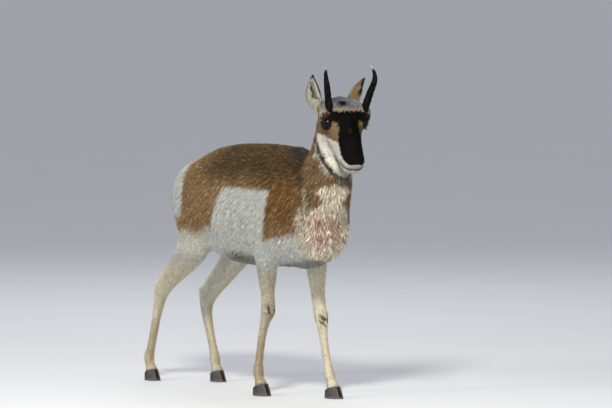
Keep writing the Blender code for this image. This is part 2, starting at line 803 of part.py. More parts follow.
def finish_head(head, frame):
    """Adds lids to the head and hollows out its eye sockets, mouth and nostrils."""
    combine(head, [lid_form(frame, sign) for sign in SIDES.values()], "UNION")
    sockets = []
    for sign in SIDES.values():
        centre = (EYE_PLACE[0], EYE_PLACE[1] * sign, EYE_PLACE[2])
        sockets.append(ball("socket", centre, (EYE_RADIUS + JOIN_GAP,) * 3, frame, 18, 10))
        sockets.append(eye_opening(frame, sign))
    nostrils = [nostril_form(frame, sign) for sign in SIDES.values()]
    combine(head, sockets + nostrils + [mouth_form(frame, head)], "DIFFERENCE")
    return head


# Horns and ears are placed in the level head's frame, so their last number is straight up
HORN_PATHS = {
    "right": [
        (0.014, -0.060, 0.052),
        (0.018, -0.064, 0.080),
        (0.020, -0.067, 0.108),
        (0.016, -0.069, 0.136),
        (0.006, -0.069, 0.164),
        (-0.006, -0.065, 0.184),
        (-0.016, -0.058, 0.196),
    ],
    "left": [
        (0.014, 0.066, 0.052),
        (0.019, 0.076, 0.084),
        (0.020, 0.087, 0.115),
        (0.014, 0.101, 0.144),
        (0.004, 0.104, 0.168),
        (-0.005, 0.099, 0.186),
        (-0.013, 0.092, 0.198),
    ],
}
# Front to back and side to side half sizes of a horn, from its root to its tip
HORN_GIRTHS = [
    (0.0185, 0.0125),
    (0.0175, 0.0118),
    (0.0165, 0.0110),
    (0.0136, 0.0096),
    (0.0086, 0.0066),
    (0.0046, 0.0040),
    (0.0016, 0.0016),
]
# Share of the prong's length, then half its height and half its width
PRONG_SHAPE = [
    (0.00, 0.0140, 0.0085),
    (0.40, 0.0105, 0.0070),
    (0.75, 0.0065, 0.0050),
    (1.00, 0.0020, 0.0020),
]


def horn_form(side, level):
    """One horn: a flattened sheath that hooks at its tip, with a short prong on its front."""
    sign = SIDES[side]
    path = HORN_PATHS[side]
    root = Vector(path[0]) - Vector((math.sin(HEAD_PITCH), 0.0, math.cos(HEAD_PITCH))) * HORN_ROOT_DEPTH
    rows = [(*root, *HORN_GIRTHS[0])] + [(*p, *g) for p, g in zip(path, HORN_GIRTHS)]
    rows = smooth_rows(rows, 2)
    rings = []
    for i, row in enumerate(rows):
        ahead = Vector(rows[min(i + 1, len(rows) - 1)][:3])
        behind = Vector(rows[max(i - 1, 0)][:3])
        along = (ahead - behind).normalized()
        side_axis = (Vector((0, 1, 0)) - along * along.y).normalized()
        front = side_axis.cross(along)
        section = ring(Vector(row[:3]), side_axis, front, row[4], row[3], row[3], 2.0, 12)
        rings.append([level @ p for p in section])
    horn = loft(f"horn_{side}", rings, "pronghorn")
    fork = Vector(path[2]).lerp(Vector(path[3]), 0.35)
    prong = []
    for share, tall, wide in PRONG_SHAPE:
        middle = fork + Vector((0.024 * share, sign * 0.002 * share, 0.016 * share))
        tilt = Vector((-0.45, 0, 1)).normalized()
        prong.append([level @ p for p in ring(middle, Vector((0, 1, 0)), tilt, wide, tall, tall, 2.0, 8)])
    return combine(horn, [loft("prong", prong)], "UNION")


# Each ear: root and tip in the level head's frame, where its hollow faces, and its sideways bow
EARS = {
    "right": ((-0.050, -0.074, 0.046), (-0.072, -0.090, 0.161), (0.72, -0.66, 0.05), -0.015),
    "left": ((-0.058, 0.046, 0.050), (-0.084, 0.096, 0.150), (-0.42, 0.90, 0.05), -0.006),
}
# Share of the length, half width, depth of the cup, and how hollow it is there
EAR_SHAPE = [
    (-0.24, 0.0120, 0.0120, 0.00),
    (-0.02, 0.0180, 0.0170, 0.10),
    (0.12, 0.0240, 0.0185, 0.65),
    (0.30, 0.0300, 0.0175, 0.95),
    (0.50, 0.0295, 0.0150, 1.00),
    (0.70, 0.0225, 0.0110, 1.00),
    (0.86, 0.0130, 0.0070, 0.90),
    (0.96, 0.0055, 0.0040, 0.50),
    (1.00, 0.0022, 0.0022, 0.00),
]


def ear_form(side, level):
    """One ear: a pointed cup with rolled edges, solid at its root and at its tip."""
    root, tip, facing = (Vector(v) for v in EARS[side][:3])
    bow = Vector((0.0, EARS[side][3], 0.0))
    along = (tip - root).normalized()
    opening = (facing - along * facing.dot(along)).normalized()
    bow -= opening * EAR_BOW
    across = along.cross(opening)
    reach = math.radians(118)
    arc = 7
    rings = []
    for share, half_width, depth, hollow in smooth_rows(EAR_SHAPE, 2):
        middle = root + (tip - root) * share + bow * (4 * share * (1 - share))
        thick = min(EAR_THICKNESS, half_width * 0.45, depth * 0.45)
        section = []
        for i in range(arc):
            turn = (i / (arc - 1) * 2 - 1) * reach
            section.append(middle + across * half_width * math.sin(turn) - opening * depth * math.cos(turn))
        for i in reversed(range(arc)):
            turn = (i / (arc - 1) * 2 - 1) * reach * 0.94
            lip = -math.cos(reach) * depth + 0.001
            cup = -(depth - thick) * math.cos(turn)
            forward = hollow * cup + (1 - hollow) * max(cup, lip)
            section.append(middle + across * (half_width - thick) * math.sin(turn) + opening * forward)
        rings.append([level @ p for p in section])
    return loft(f"ear_{side}", rings, "pronghorn")


def tail_form():
    """The short tail, a tapering tongue of white hair that hangs against the rump."""
    root = (-0.628, 0.0, 0.738)
    shape = (
        (-0.20, 0.020, 0.022),
        (0.0, 0.024, 0.028),
        (0.35, 0.020, 0.030),
        (0.75, 0.014, 0.021),
        (1.0, 0.004, 0.006),
    )
    rows = []
    for share, thick, half_width in shape:
        forward = root[0] - TAIL_LENGTH * (0.52 * share - 0.18 * share * share)
        up = root[2] - TAIL_LENGTH * (0.72 * share + 0.16 * share * share)
        rows.append((forward, 0.0, up, thick, thick, half_width))
    return limb("tail", rows, 2.0, 2, "pronghorn", 12)


def claw_form(foot, inner):
    """One claw of a hoof: pointed, straight on its inner side, with a flat sole and a slanting top."""
    foot_forward, foot_left, length, half_width = FEET[foot]
    outward = math.copysign(1, foot_left) * (-1 if inner else 1)
    middle_left = foot_left + outward * (half_width + 0.0012)
    count = 14
    rings = []
    for level in (0.0, 0.12, 0.55, 1.0):
        spread = 1 - 0.34 * level - (0.04 if level == 0 else 0)
        shift = 0.010 * (1 - level)
        section = []
        for i in range(count):
            turn = 2 * math.pi * i / count
            along, across = math.cos(turn), math.sin(turn)
            forward = foot_forward + shift + along * length / 2 * spread
            taper = TOE_TAPER * max(0, along) ** 1.6
            width = half_width * (1 - 0.08 * level) * (1 - taper)
            sideways = across * width - outward * half_width * taper * 0.9
            top = coronet_height(forward, foot_forward) - JOIN_GAP * 1.2
            section.append(place(forward, middle_left + sideways, level * top))
        rings.append(section)
    which = "inner" if inner else "outer"
    return loft(f"hoof_{foot}_{which}", rings, "pronghorn")


# A lock from root to tip: share of its length, half width, half thickness, height above the skin
LOCK_SHAPE = [
    (0.00, 0.75, 0.0022, -0.0060),
    (0.22, 1.00, 0.0018, 0.0008),
    (0.62, 0.72, 0.0014, 0.0036),
    (1.00, 0.12, 0.0008, 0.0074),
]


# Locks stand in rows: first and last row, how many rows, how far to each side
NAPE_ROWS = (0.940, 0.878, 4, 0.034)
CREST_ROWS = (0.135, 0.064, 4, 0.036)
RIDGE_ROWS = (-0.030, -0.105, 4, 0.036)
RUMP_HEIGHTS = (0.735, 0.700, 0.668)
RUMP_SIDES = (0.046, 0.076)
# How much lower the outer locks of the rump stand, for each metre to the side
RUMP_DROOP = 0.25
# Length and half width of a lock
MANE_LOCK = (0.045, 0.0130)
RUMP_LOCK = (0.040, 0.0160)


def lock_form(skin, root, lie, length, half_width):
    """One flat lock of hair, rooted under the skin, that bends along its lie to a thin tip."""
    rings = []
    for share, wide, thick, height in LOCK_SHAPE:
        _, spot, normal, _ = skin.closest_point_on_mesh(root + lie * (length * share))
        across = normal.cross(lie).normalized()
        rings.append(ring(spot + normal * height, across, normal, half_width * wide, thick, thick, 2, 5))
    return loft("lock", rings)


def lock_row(skin, starts, towards, lie, size, seed):
    """Locks whose roots are found by looking from each start towards the skin."""
    draw = np.random.default_rng(seed)
    length, half_width = size
    locks = []
    for start in starts:
        hit, root, normal, _ = skin.ray_cast(start, towards)
        if hit:
            flat = (lie - normal * lie.dot(normal)).normalized()
            turned = (flat + normal.cross(flat) * draw.uniform(-0.22, 0.22)).normalized()
            grown = length * draw.uniform(0.85, 1.15)
            locks.append(lock_form(skin, root, turned, grown, half_width * draw.uniform(0.9, 1.1)))
    return locks


def staggered(first, last, rows, left):
    """Pairs and threes of places across the middle line, in turn, from first to last."""
    spots = []
    for i in range(rows):
        along = first + (last - first) * i / (rows - 1)
        for across in (-left, 0.0, left) if i % 2 else (-left / 2, left / 2):
            spots.append((along, across))
    return spots


def comb_out(nodes):
    """Fuses the locks of the nape, the withers and the rump to the nodes they grow from."""
    ahead, down, back = place(1, 0, 0), place(0, 0, -1), place(-1, 0, 0)
    nape = [place(-0.10, across + NAPE_BEND, height) for height, across in staggered(*NAPE_ROWS)]
    crest = [place(forward, across, 1.0) for forward, across in staggered(*CREST_ROWS)]
    ridge = [place(forward, across, 1.0) for forward, across in staggered(*RIDGE_ROWS)]
    rump = []
    for sign in SIDES.values():
        for height in RUMP_HEIGHTS:
            for left in RUMP_SIDES:
                lowered = height - RUMP_DROOP * (left - RUMP_SIDES[0])
                rump.append(place(-0.90, left * sign, lowered))
    neck, torso = nodes["neck"], nodes["torso"]
    locks = lock_row(neck, nape, ahead, place(-0.5, 0, -1), MANE_LOCK, 11)
    locks += lock_row(neck, crest, down, back, MANE_LOCK, 12)
    combine(neck, locks, "UNION", "MANIFOLD")
    locks = lock_row(torso, ridge, down, back, MANE_LOCK, 13)
    locks += lock_row(torso, rump, ahead, place(-0.1, 0, -1), RUMP_LOCK, 14)
    combine(torso, locks, "UNION", "MANIFOLD")


def paint(obj, colour, roughness):
    """Gives a node its own plain material."""
    material = bpy.data.materials.new(obj.name)
    material.use_nodes = True
    shader = material.node_tree.nodes["Principled BSDF"]
    shader.inputs["Base Color"].default_value = (*colour, 1)
    shader.inputs["Roughness"].default_value = roughness
    shader.inputs["Metallic"].default_value = 0.0
    obj.data.materials.clear()
    obj.data.materials.append(material)


def settle(nodes):
    """Shifts every node so that the origin is on the floor under the middle of the whole."""
    low = np.full(3, np.inf)
    high = -low
    for obj in nodes:
        points, _ = skin_points(obj)
        low = np.minimum(low, points.min(0))
        high = np.maximum(high, points.max(0))
    shift = Vector((-(low[0] + high[0]) / 2, -(low[1] + high[1]) / 2, -low[2]))
    for obj in nodes:
        obj.data.transform(Matrix.Translation(shift))
        obj.data.shade_smooth()
        obj.data.set_sharp_from_angle(angle=math.radians(50))
    return shift


def main():
    """Builds all nodes of the animal."""
    for obj in list(bpy.data.objects):
        bpy.data.objects.remove(obj)
    frame = head_matrix()
    level = head_matrix(0.0)
    forms = [trunk_form(), neck_form(), head_form(frame)] + leg_forms() + muscle_forms()
    skin = fuse("skin", forms)

    head = coarser(skin, "head", HEAD_TRIANGLES)
    combine(head, [head_region()], "INTERSECT")
    body = coarser(skin, "body", BODY_TRIANGLES)
    bpy.data.objects.remove(skin)
    combine(body, [head_region(JOIN_GAP)], "DIFFERENCE")
    nodes = cut_nodes(body)
    eyes = eye_forms(frame)
    for side in SIDES:
        nodes[f"eye_{side}"] = eyes[side]
        nodes[f"horn_{side}"] = clear_of(horn_form(side, level), head)
        nodes[f"ear_{side}"] = clear_of(ear_form(side, level), head)
    nodes["head"] = finish_head(head, frame)
    nodes["tail"] = clear_of(tail_form(), nodes["torso"])
    comb_out(nodes)
    for foot in FEET:
        for inner in (True, False):
            claw = claw_form(foot, inner)
            nodes[claw.name] = claw

    for name, obj in nodes.items():
        if name.startswith("eye"):
            paint(obj, EYE_BLACK, 0.08)
        elif name.startswith("horn"):
            paint(obj, HORN_BLACK, 0.55)
        elif name.startswith("hoof"):
            paint(obj, HOOF_BLACK, 0.50)
        elif "cannon" in name or "leg" in name:
            paint(obj, FUR_TAN, 0.90)
        elif name == "tail":
            paint(obj, FUR_WHITE, 0.90)
        else:
            paint(obj, FUR_BROWN, 0.90)
    shift = settle(nodes.values())
    print("shift", tuple(round(v, 5) for v in shift))
    total = 0
    for name, obj in nodes.items():
        count = sum(len(face.vertices) - 2 for face in obj.data.polygons)
        total += count
        print(name, count)
    print("triangles", total)


main()
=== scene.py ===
# %% [markdown]
# # A pronghorn buck in its winter coat
#
# This lesson dresses a still, life-size pronghorn. The solids of the animal arrive as a fixed
# frame, and every piece made here is laid on them: one skin, a coat of small hair tufts, ears,
# eyes with lashes, horns and hooves. The frame is loaded first, because everything else is
# measured from it.

# %% Load the frame
import json
import math

import bmesh
import bpy
import numpy as np
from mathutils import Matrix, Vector
from mathutils.bvhtree import BVHTree
from mathutils.kdtree import KDTree

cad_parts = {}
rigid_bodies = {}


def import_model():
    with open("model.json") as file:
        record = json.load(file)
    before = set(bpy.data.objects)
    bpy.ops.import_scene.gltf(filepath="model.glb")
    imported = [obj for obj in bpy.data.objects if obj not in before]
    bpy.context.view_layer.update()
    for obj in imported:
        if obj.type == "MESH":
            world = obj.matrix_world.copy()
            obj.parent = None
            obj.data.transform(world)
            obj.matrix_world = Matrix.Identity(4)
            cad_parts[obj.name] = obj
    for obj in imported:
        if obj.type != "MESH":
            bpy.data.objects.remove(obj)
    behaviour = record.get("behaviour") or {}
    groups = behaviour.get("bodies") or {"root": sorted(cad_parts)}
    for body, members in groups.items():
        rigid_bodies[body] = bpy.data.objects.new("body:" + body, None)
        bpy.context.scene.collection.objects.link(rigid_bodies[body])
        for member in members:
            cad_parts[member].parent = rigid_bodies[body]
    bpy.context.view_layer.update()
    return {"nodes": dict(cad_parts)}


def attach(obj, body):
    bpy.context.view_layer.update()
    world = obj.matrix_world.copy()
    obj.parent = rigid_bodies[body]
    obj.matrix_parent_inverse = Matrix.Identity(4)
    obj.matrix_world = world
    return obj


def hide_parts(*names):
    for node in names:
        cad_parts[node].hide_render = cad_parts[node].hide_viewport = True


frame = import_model()

# %% [markdown]
# ## Places on the animal
#
# The animal faces -Y, which is hard to think in. So all places are given as forward, left and
# up from a spot on the floor between the elbows. The head is turned and bowed, so it has axes
# of its own: along the bridge of the nose, to the left, and up through the forehead.

# %% Two ways to say where a point is
FLOOR_SPOT = np.array((-0.00003, -0.16663, 0.0))
HEAD_CENTRE = np.array((0.3386, -0.020, 0.948))
HEAD_YAW = math.radians(18)
HEAD_PITCH = math.radians(42)
EYE_PLACE = (-0.002, 0.0580, 0.004)
EYE_RADIUS = 0.0225
SIDES = {"right": -1.0, "left": 1.0}

level_nose = np.array((math.cos(HEAD_YAW), -math.sin(HEAD_YAW), 0.0))
rise = np.array((0.0, 0.0, 1.0))
HEAD_AXES = np.array(
    (
        level_nose * math.cos(HEAD_PITCH) - rise * math.sin(HEAD_PITCH),
        (math.sin(HEAD_YAW), math.cos(HEAD_YAW), 0.0),
        level_nose * math.sin(HEAD_PITCH) + rise * math.cos(HEAD_PITCH),
    )
)


def to_animal(points):
    """Model points as forward, left and up."""
    moved = np.asarray(points) - FLOOR_SPOT
    return np.stack((-moved[..., 1], moved[..., 0], moved[..., 2]), -1)


def to_model(points, free=False):
    """Forward, left and up as model points, or as directions where free is true."""
    points = np.asarray(points)
    turned = np.stack((points[..., 1], -points[..., 0], points[..., 2]), -1)
    return turned if free else turned + FLOOR_SPOT


def to_head(animal_points):
    """Forward, left and up as places on the head: along the nose, left, up."""
    return (animal_points - HEAD_CENTRE) @ HEAD_AXES.T


def from_head(head_points, free=False):
    """Places on the head as model points."""
    turned = np.asarray(head_points) @ HEAD_AXES
    return to_model(turned, True) if free else to_model(turned + HEAD_CENTRE)


print("the nose points to", from_head((1.0, 0.0, 0.0), True).round(2))

# %% [markdown]
# ## Camera, light and floor
#
# A long lens from fourteen metres flattens the animal as a wildlife photograph does. The camera
# stands to the animal's right front, about half a metre above its back. Light is soft: a square
# lamp from the front, a weaker one from the side, a wide one from behind, and a pale sky.

# %% Camera
CAMERA_AZIMUTH = math.radians(-35)
CAMERA_ELEVATION = math.radians(3)
CAMERA_DISTANCE = 14.0
SENSOR = 36.0
LENS = 238.8
FRAME_WIDTH, FRAME_HEIGHT = 612, 408
# The floor spot shows at this pixel
SPOT_PIXEL = (292.3, 396.0)

scene = bpy.context.scene


def sight(azimuth, elevation):
    """The direction from the animal to something that stands at an azimuth and an elevation."""
    level = math.cos(elevation)
    return Vector((math.sin(azimuth) * level, -math.cos(azimuth) * level, math.sin(elevation)))


away = sight(CAMERA_AZIMUTH, CAMERA_ELEVATION)
turn = away.to_track_quat("Z", "Y")
metres_per_pixel = CAMERA_DISTANCE * SENSOR / LENS / FRAME_WIDTH
camera = bpy.data.objects.new("camera", bpy.data.cameras.new("camera"))
scene.collection.objects.link(camera)
camera.data.lens = LENS
camera.data.sensor_width = SENSOR
camera.data.clip_end = 9000.0
camera.rotation_mode = "QUATERNION"
camera.rotation_quaternion = turn
right, upward = turn @ Vector((1, 0, 0)), turn @ Vector((0, 1, 0))
camera.location = (
    Vector(FLOOR_SPOT)
    + right * (FRAME_WIDTH / 2 - SPOT_PIXEL[0]) * metres_per_pixel
    + upward * (SPOT_PIXEL[1] - FRAME_HEIGHT / 2) * metres_per_pixel
    + away * CAMERA_DISTANCE
)
scene.camera = camera
print("the camera is", round(camera.location.z, 2), "m above the floor")

# %% Lights and sky
scene.view_settings.view_transform = "Standard"
# The lamps look at the middle of the trunk
centre = Vector(FLOOR_SPOT) + Vector((0, 0.15, 0.6))
SKY_TINT, SKY_STRENGTH = (0.85, 0.89, 0.95, 1), 0.62


def lamp(name, azimuth, elevation, distance, size, power, tint):
    """A square area lamp that looks at the animal. Its place is told as the camera's is."""
    light = bpy.data.objects.new(name, bpy.data.lights.new(name, "AREA"))
    scene.collection.objects.link(light)
    light.data.size = size
    light.data.energy = power
    light.data.color = tint
    aim = sight(math.radians(azimuth), math.radians(elevation))
    light.location = centre + aim * distance
    light.rotation_mode = "QUATERNION"
    light.rotation_quaternion = aim.to_track_quat("Z", "Y")


lamp("key_light", -42, 36, 5.0, 0.7, 265, (1.0, 0.95, 0.87))
lamp("fill_light", -100, 20, 6.0, 1.2, 100, (0.96, 0.98, 1.0))
lamp("back_light", 150, 42, 6.0, 3.0, 90, (0.95, 0.97, 1.0))

world = bpy.data.worlds.new("studio_sky")
world.use_nodes = True
sky = world.node_tree.nodes["Background"].inputs
sky["Color"].default_value = SKY_TINT
sky["Strength"].default_value = SKY_STRENGTH
scene.world = world

# %% [markdown]
# ## Writing materials as sums
#
# A material is a graph of nodes. Wiring Math nodes by hand hides what they compute, so a small
# class wraps a socket: adding or multiplying two of them adds the Math node and returns its
# output. Any other node comes from one method, and short ones build on it for noise and bumps.

# %% A socket that does sums
# A dressed piece keeps the colour of its markings under this name
COLOUR_LAYER = "coat_colour"


class Wire:
    """One output socket of a node graph, which can be reckoned with."""

    def __init__(self, tree, socket):
        self.tree = tree
        self.socket = socket

    def _math(self, operation, first, second):
        return Graph.wrap(self.tree).node("ShaderNodeMath", {"operation": operation}, {0: first, 1: second})

    def __add__(self, other):
        return self._math("ADD", self, other)

    def __sub__(self, other):
        return self._math("SUBTRACT", self, other)

    def __mul__(self, other):
        return self._math("MULTIPLY", self, other)

    def __rsub__(self, other):
        return self._math("SUBTRACT", other, self)

    __radd__ = __add__
    __rmul__ = __mul__


class Graph:
    """A node graph, with one method that adds any node."""

    def __init__(self, name):
        self.material = bpy.data.materials.new(name)
        self.material.use_nodes = True
        self.tree = self.material.node_tree
        self.shader = self.tree.nodes["Principled BSDF"]

    @classmethod
    def wrap(cls, tree):
        """A graph for a tree that is there already."""
        graph = cls.__new__(cls)
        graph.tree = tree
        return graph

    def node(self, kind, settings=None, inputs=None, output=0):
        """Adds a node, sets it up, fills its sockets with values or wires, and gives one output."""
        made = self.tree.nodes.new(kind)
        for key, value in (settings or {}).items():
            setattr(made, key, value)
        for key, value in (inputs or {}).items():
            if isinstance(value, Wire):
                self.tree.links.new(value.socket, made.inputs[key])
            else:
                made.inputs[key].default_value = value
        return Wire(self.tree, made.outputs[output])

    def ramp(self, value, stops):
        """A colour ramp on a value. Each stop is a place and a grey or a colour."""
        made = self.tree.nodes.new("ShaderNodeValToRGB")
        while len(made.color_ramp.elements) < len(stops):
            made.color_ramp.elements.new(0.5)
        for element, (place, tint) in zip(made.color_ramp.elements, stops):
            element.position = place
            element.color = (*tint, 1) if isinstance(tint, tuple) else (tint, tint, tint, 1)
        self.tree.links.new(value.socket, made.inputs["Fac"])
        return Wire(self.tree, made.outputs["Color"])

    def mix(self, share, first, second, blend="MIX"):
        """Mixes two colours, each a wire or a named colour."""
        made = self.tree.nodes.new("ShaderNodeMix")
        made.data_type = "RGBA"
        made.blend_type = blend
        for key, value in ((0, share), (6, first), (7, second)):
            if isinstance(value, Wire):
                self.tree.links.new(value.socket, made.inputs[key])
            else:
                made.inputs[key].default_value = (*value, 1) if isinstance(value, tuple) else value
        return Wire(self.tree, made.outputs[2])

    def place(self, scale=(1, 1, 1)):
        """The piece's own coordinates, stretched for a grain."""
        spot = self.node("ShaderNodeTexCoord", output="Object")
        return self.node("ShaderNodeMapping", {}, {"Vector": spot, "Scale": scale})

    def noise(self, scale, detail=3.0, stretch=(1, 1, 1)):
        """A noise value from 0 to 1."""
        inputs = {"Vector": self.place(stretch), "Scale": scale, "Detail": detail}
        return self.node("ShaderNodeTexNoise", {}, inputs, "Fac")

    def bump(self, height, strength, distance):
        """A bump that feeds the shader's normal."""
        inputs = {"Height": height, "Strength": strength, "Distance": distance}
        made = self.node("ShaderNodeBump", {}, inputs, "Normal")
        self.tree.links.new(made.socket, self.shader.inputs["Normal"])

    def stored(self):
        """The colour that a mesh keeps for each of its points."""
        return self.node("ShaderNodeAttribute", {"attribute_name": COLOUR_LAYER}, {}, "Color")

    def feed(self, name, value):
        """Sets one of the shader's sockets to a number or a wire."""
        if isinstance(value, Wire):
            self.tree.links.new(value.socket, self.shader.inputs[name])
        else:
            self.shader.inputs[name].default_value = value


# %% [markdown]
# ## Small tools for meshes
#
# A coat has more than a hundred thousand tufts, so meshes are handled as numpy arrays of points
# and faces. A few helpers read a mesh into arrays, smooth it and write it back.

# %% Meshes as arrays
def points_of(mesh):
    """The points of a mesh."""
    flat = np.empty(len(mesh.vertices) * 3)
    mesh.vertices.foreach_get("co", flat)
    return flat.reshape(-1, 3)


def normals_of(mesh):
    """The direction that each point of a mesh faces."""
    flat = np.empty(len(mesh.vertices) * 3)
    mesh.vertices.foreach_get("normal", flat)
    return flat.reshape(-1, 3)


def move_points(mesh, points):
    """Puts the points of a mesh in new places."""
    mesh.vertices.foreach_set("co", points.ravel())
    mesh.update()


def smoothed(mesh, passes, pull=0.5, push=0.0, share=None):
    """Relaxes a mesh. With a push after each pull it keeps its size. Share limits it to some points."""
    points = points_of(mesh)
    edges = np.empty(len(mesh.edges) * 2, int)
    mesh.edges.foreach_get("vertices", edges)
    edges = edges.reshape(-1, 2)
    links = np.bincount(edges.ravel(), minlength=len(points))[:, None].clip(1)
    share = 1.0 if share is None else share[:, None]
    for _ in range(passes):
        for step in (pull, -push) if push else (pull,):
            total = np.zeros_like(points)
            for axis in range(3):
                total[:, axis] = np.bincount(edges[:, 0], points[edges[:, 1], axis], len(points))
                total[:, axis] += np.bincount(edges[:, 1], points[edges[:, 0], axis], len(points))
            points += step * share * (total / links - points)
    move_points(mesh, points)


def new_object(name, mesh):
    """An object for a mesh, in the scene."""
    obj = bpy.data.objects.new(name, mesh)
    scene.collection.objects.link(obj)
    return obj


def merged_copy(name, nodes, grown=0.0):
    """The loose triangles of some nodes, merged to closed skins and moved outwards a little."""
    form = bmesh.new()
    for node in nodes:
        form.from_mesh(frame["nodes"][node].data)
    bmesh.ops.remove_doubles(form, verts=form.verts, dist=1e-5)
    mesh = bpy.data.meshes.new(name)
    form.to_mesh(mesh)
    form.free()
    if grown:
        move_points(mesh, points_of(mesh) + normals_of(mesh) * grown)
    return new_object(name, mesh)


def apply_modifiers(obj):
    """Replaces an object's mesh by what its modifiers make of it."""
    graph = bpy.context.evaluated_depsgraph_get()
    mesh = bpy.data.meshes.new_from_object(obj.evaluated_get(graph), depsgraph=graph)
    obj.modifiers.clear()
    obj.data = mesh


def rounded(obj):
    """Subdivides an object's mesh twice, for smooth curves."""
    subdivide = obj.modifiers.new("Subdivision", "SUBSURF")
    subdivide.levels = 2
    subdivide.render_levels = 2
    apply_modifiers(obj)


def dress(obj, material):
    """Gives a whole object one material."""
    obj.data.materials.clear()
    obj.data.materials.append(material)


def ramp(value, low, high):
    """A soft step from 0 at low to 1 at high."""
    share = np.clip((value - low) / (high - low), 0, 1)
    return share * share * (3 - 2 * share)


def ripple(points, size, seed):
    """A smooth noise of about -1 to 1, a sum of waves that run in random directions."""
    draw = np.random.default_rng(seed)
    total = np.zeros(len(points))
    for _ in range(8):
        aim = draw.normal(size=3)
        aim *= 2 * math.pi / size * draw.uniform(0.6, 1.5) / np.linalg.norm(aim)
        total += np.sin(points @ aim + draw.uniform(0, 2 * math.pi))
    return total / 3.2


def bell(value, centre, width):
    """A soft bump: 1 at the centre, and about a third one width away from it."""
    return np.exp(-(((value - centre) / width) ** 2))


def unit(vectors):
    """Vectors made one long."""
    return vectors / np.linalg.norm(vectors, axis=-1, keepdims=True).clip(1e-9)


def laid_flat(directions, facing):
    """Directions turned until they lie flat on a surface that faces a certain way."""
    return unit(directions - facing * (directions * facing).sum(1, keepdims=True))


# %% [markdown]
# ## One skin under the coat
#
# The solids part the animal into head, neck, trunk, tail and legs with thin cuts. The real skin
# has no such cuts. So copies of those solids are swollen by less than half a millimetre, until
# they just overlap, and remeshed together into one closed skin. The solids reach out to the
# tips of the coat, so the skin then moves inwards by the coat's depth.

# %% Join the flesh
LEG_PARTS = ("fore_leg", "fore_cannon", "hind_leg", "hind_cannon")
LEG_NODES = [f"{part}_{side}" for part in LEG_PARTS for side in SIDES]
FLESH = ["head", "neck", "torso", "tail"] + LEG_NODES
SKIN_VOXEL = 0.0042
OVERLAP = 0.0004

skin = merged_copy("skin", FLESH, OVERLAP)
remesh = skin.modifiers.new("Remesh", "REMESH")
remesh.mode = "VOXEL"
remesh.voxel_size = SKIN_VOXEL
apply_modifiers(skin)


def keep_largest(mesh):
    """Drops all but the largest connected surface."""
    form = bmesh.new()
    form.from_mesh(mesh)
    waiting = set(form.faces)
    islands = []
    while waiting:
        stack = [waiting.pop()]
        island = []
        while stack:
            face = stack.pop()
            island.append(face)
            for edge in face.edges:
                for other in edge.link_faces:
                    if other in waiting:
                        waiting.remove(other)
                        stack.append(other)
        islands.append(island)
    largest = max(islands, key=len)
    for island in islands:
        if island is not largest:
            bmesh.ops.delete(form, geom=island, context="FACES")
    form.to_mesh(mesh)
    form.free()


keep_largest(skin.data)
smoothed(skin.data, passes=4, pull=0.6, push=0.62)
print("the skin has", len(skin.data.polygons), "faces")

# %% [markdown]
# The locks of the solids are still in this skin as low bumps along the nape, the withers and
# the rump. The finer tufts take their place, so the skin is relaxed there until they are gone.

# %% Relax the skin where the solids have locks
LOCK_PASSES = 26
forward, left, height = to_animal(points_of(skin.data)).T
on_ridge = ramp(height, 0.80, 0.83) * ramp(0.255 - forward, 0.0, 0.02)
on_ridge = on_ridge * ramp(0.07 - np.abs(left), 0, 0.02) * ramp(0.19 - forward, -0.06, 0.0)
on_rump = ramp(-0.50 - forward, 0.0, 0.03) * ramp(height, 0.58, 0.62) * ramp(0.80 - height, 0.0, 0.03)
smoothed(skin.data, passes=LOCK_PASSES, share=np.maximum(on_ridge, on_rump))

# %% [markdown]
# ## A finer face
#
# The face needs lids, nostrils and lips that the coarse skin can't hold. Its faces are split
# once, and again round the eyes and the muzzle, and its points are laid back on the head's own
# solid, which has those forms.

# %% Split and refit the face
# The skin takes the form of the head's solid where it lies nearer to it than this
REFIT_REACH = 0.006

head_solid = merged_copy("head_solid", ["head"])
head_tree = BVHTree.FromObject(head_solid, bpy.context.evaluated_depsgraph_get())


def split_faces(mesh, wanted):
    """Splits the wanted faces into four. Wanted takes places on the head and says yes or no."""
    form = bmesh.new()
    form.from_mesh(mesh)
    centres = np.array([face.calc_center_median() for face in form.faces])
    chosen = wanted(to_head(to_animal(centres)))
    edges = {edge for face, yes in zip(form.faces, chosen) if yes for edge in face.edges}
    bmesh.ops.subdivide_edges(form, edges=list(edges), cuts=1, use_grid_fill=True)
    bmesh.ops.triangulate(form, faces=[face for face in form.faces if len(face.verts) > 4])
    form.to_mesh(mesh)
    form.free()


def eye_distance(head):
    """How far places on the head are from the nearer eye's centre."""
    mirrored = np.stack((head[:, 0], np.abs(head[:, 1]), head[:, 2]), 1)
    return np.linalg.norm(mirrored - np.array(EYE_PLACE), axis=1)


def in_face(head):
    """Yes on the whole face."""
    return (head[:, 0] > -0.05) & (head[:, 2] > -0.12) & (head[:, 0] + head[:, 2] > -0.10)


def in_detail(head):
    """Yes round the eyes and on the muzzle."""
    return ((head[:, 0] > 0.135) & (head[:, 2] > -0.09)) | (eye_distance(head) < 0.042)


split_faces(skin.data, in_face)
split_faces(skin.data, in_detail)

points = points_of(skin.data)
head_places = to_head(to_animal(points))
along, _, up = head_places.T
refit = ramp(along, -0.06, -0.03) * ramp(up + 0.6 * along, -0.11, -0.08)
for index in np.nonzero(refit > 0)[0]:
    spot, _, _, apart = head_tree.find_nearest(Vector(points[index]))
    if spot is not None and apart < REFIT_REACH:
        points[index] += (np.array(spot) - points[index]) * refit[index]
move_points(skin.data, points)
face_share = refit * (0.35 + 0.65 * ramp(eye_distance(head_places), 0.030, 0.045))
smoothed(skin.data, passes=2, share=face_share)
bpy.data.objects.remove(head_solid)
print("with its face the skin has", len(skin.data.polygons), "faces")

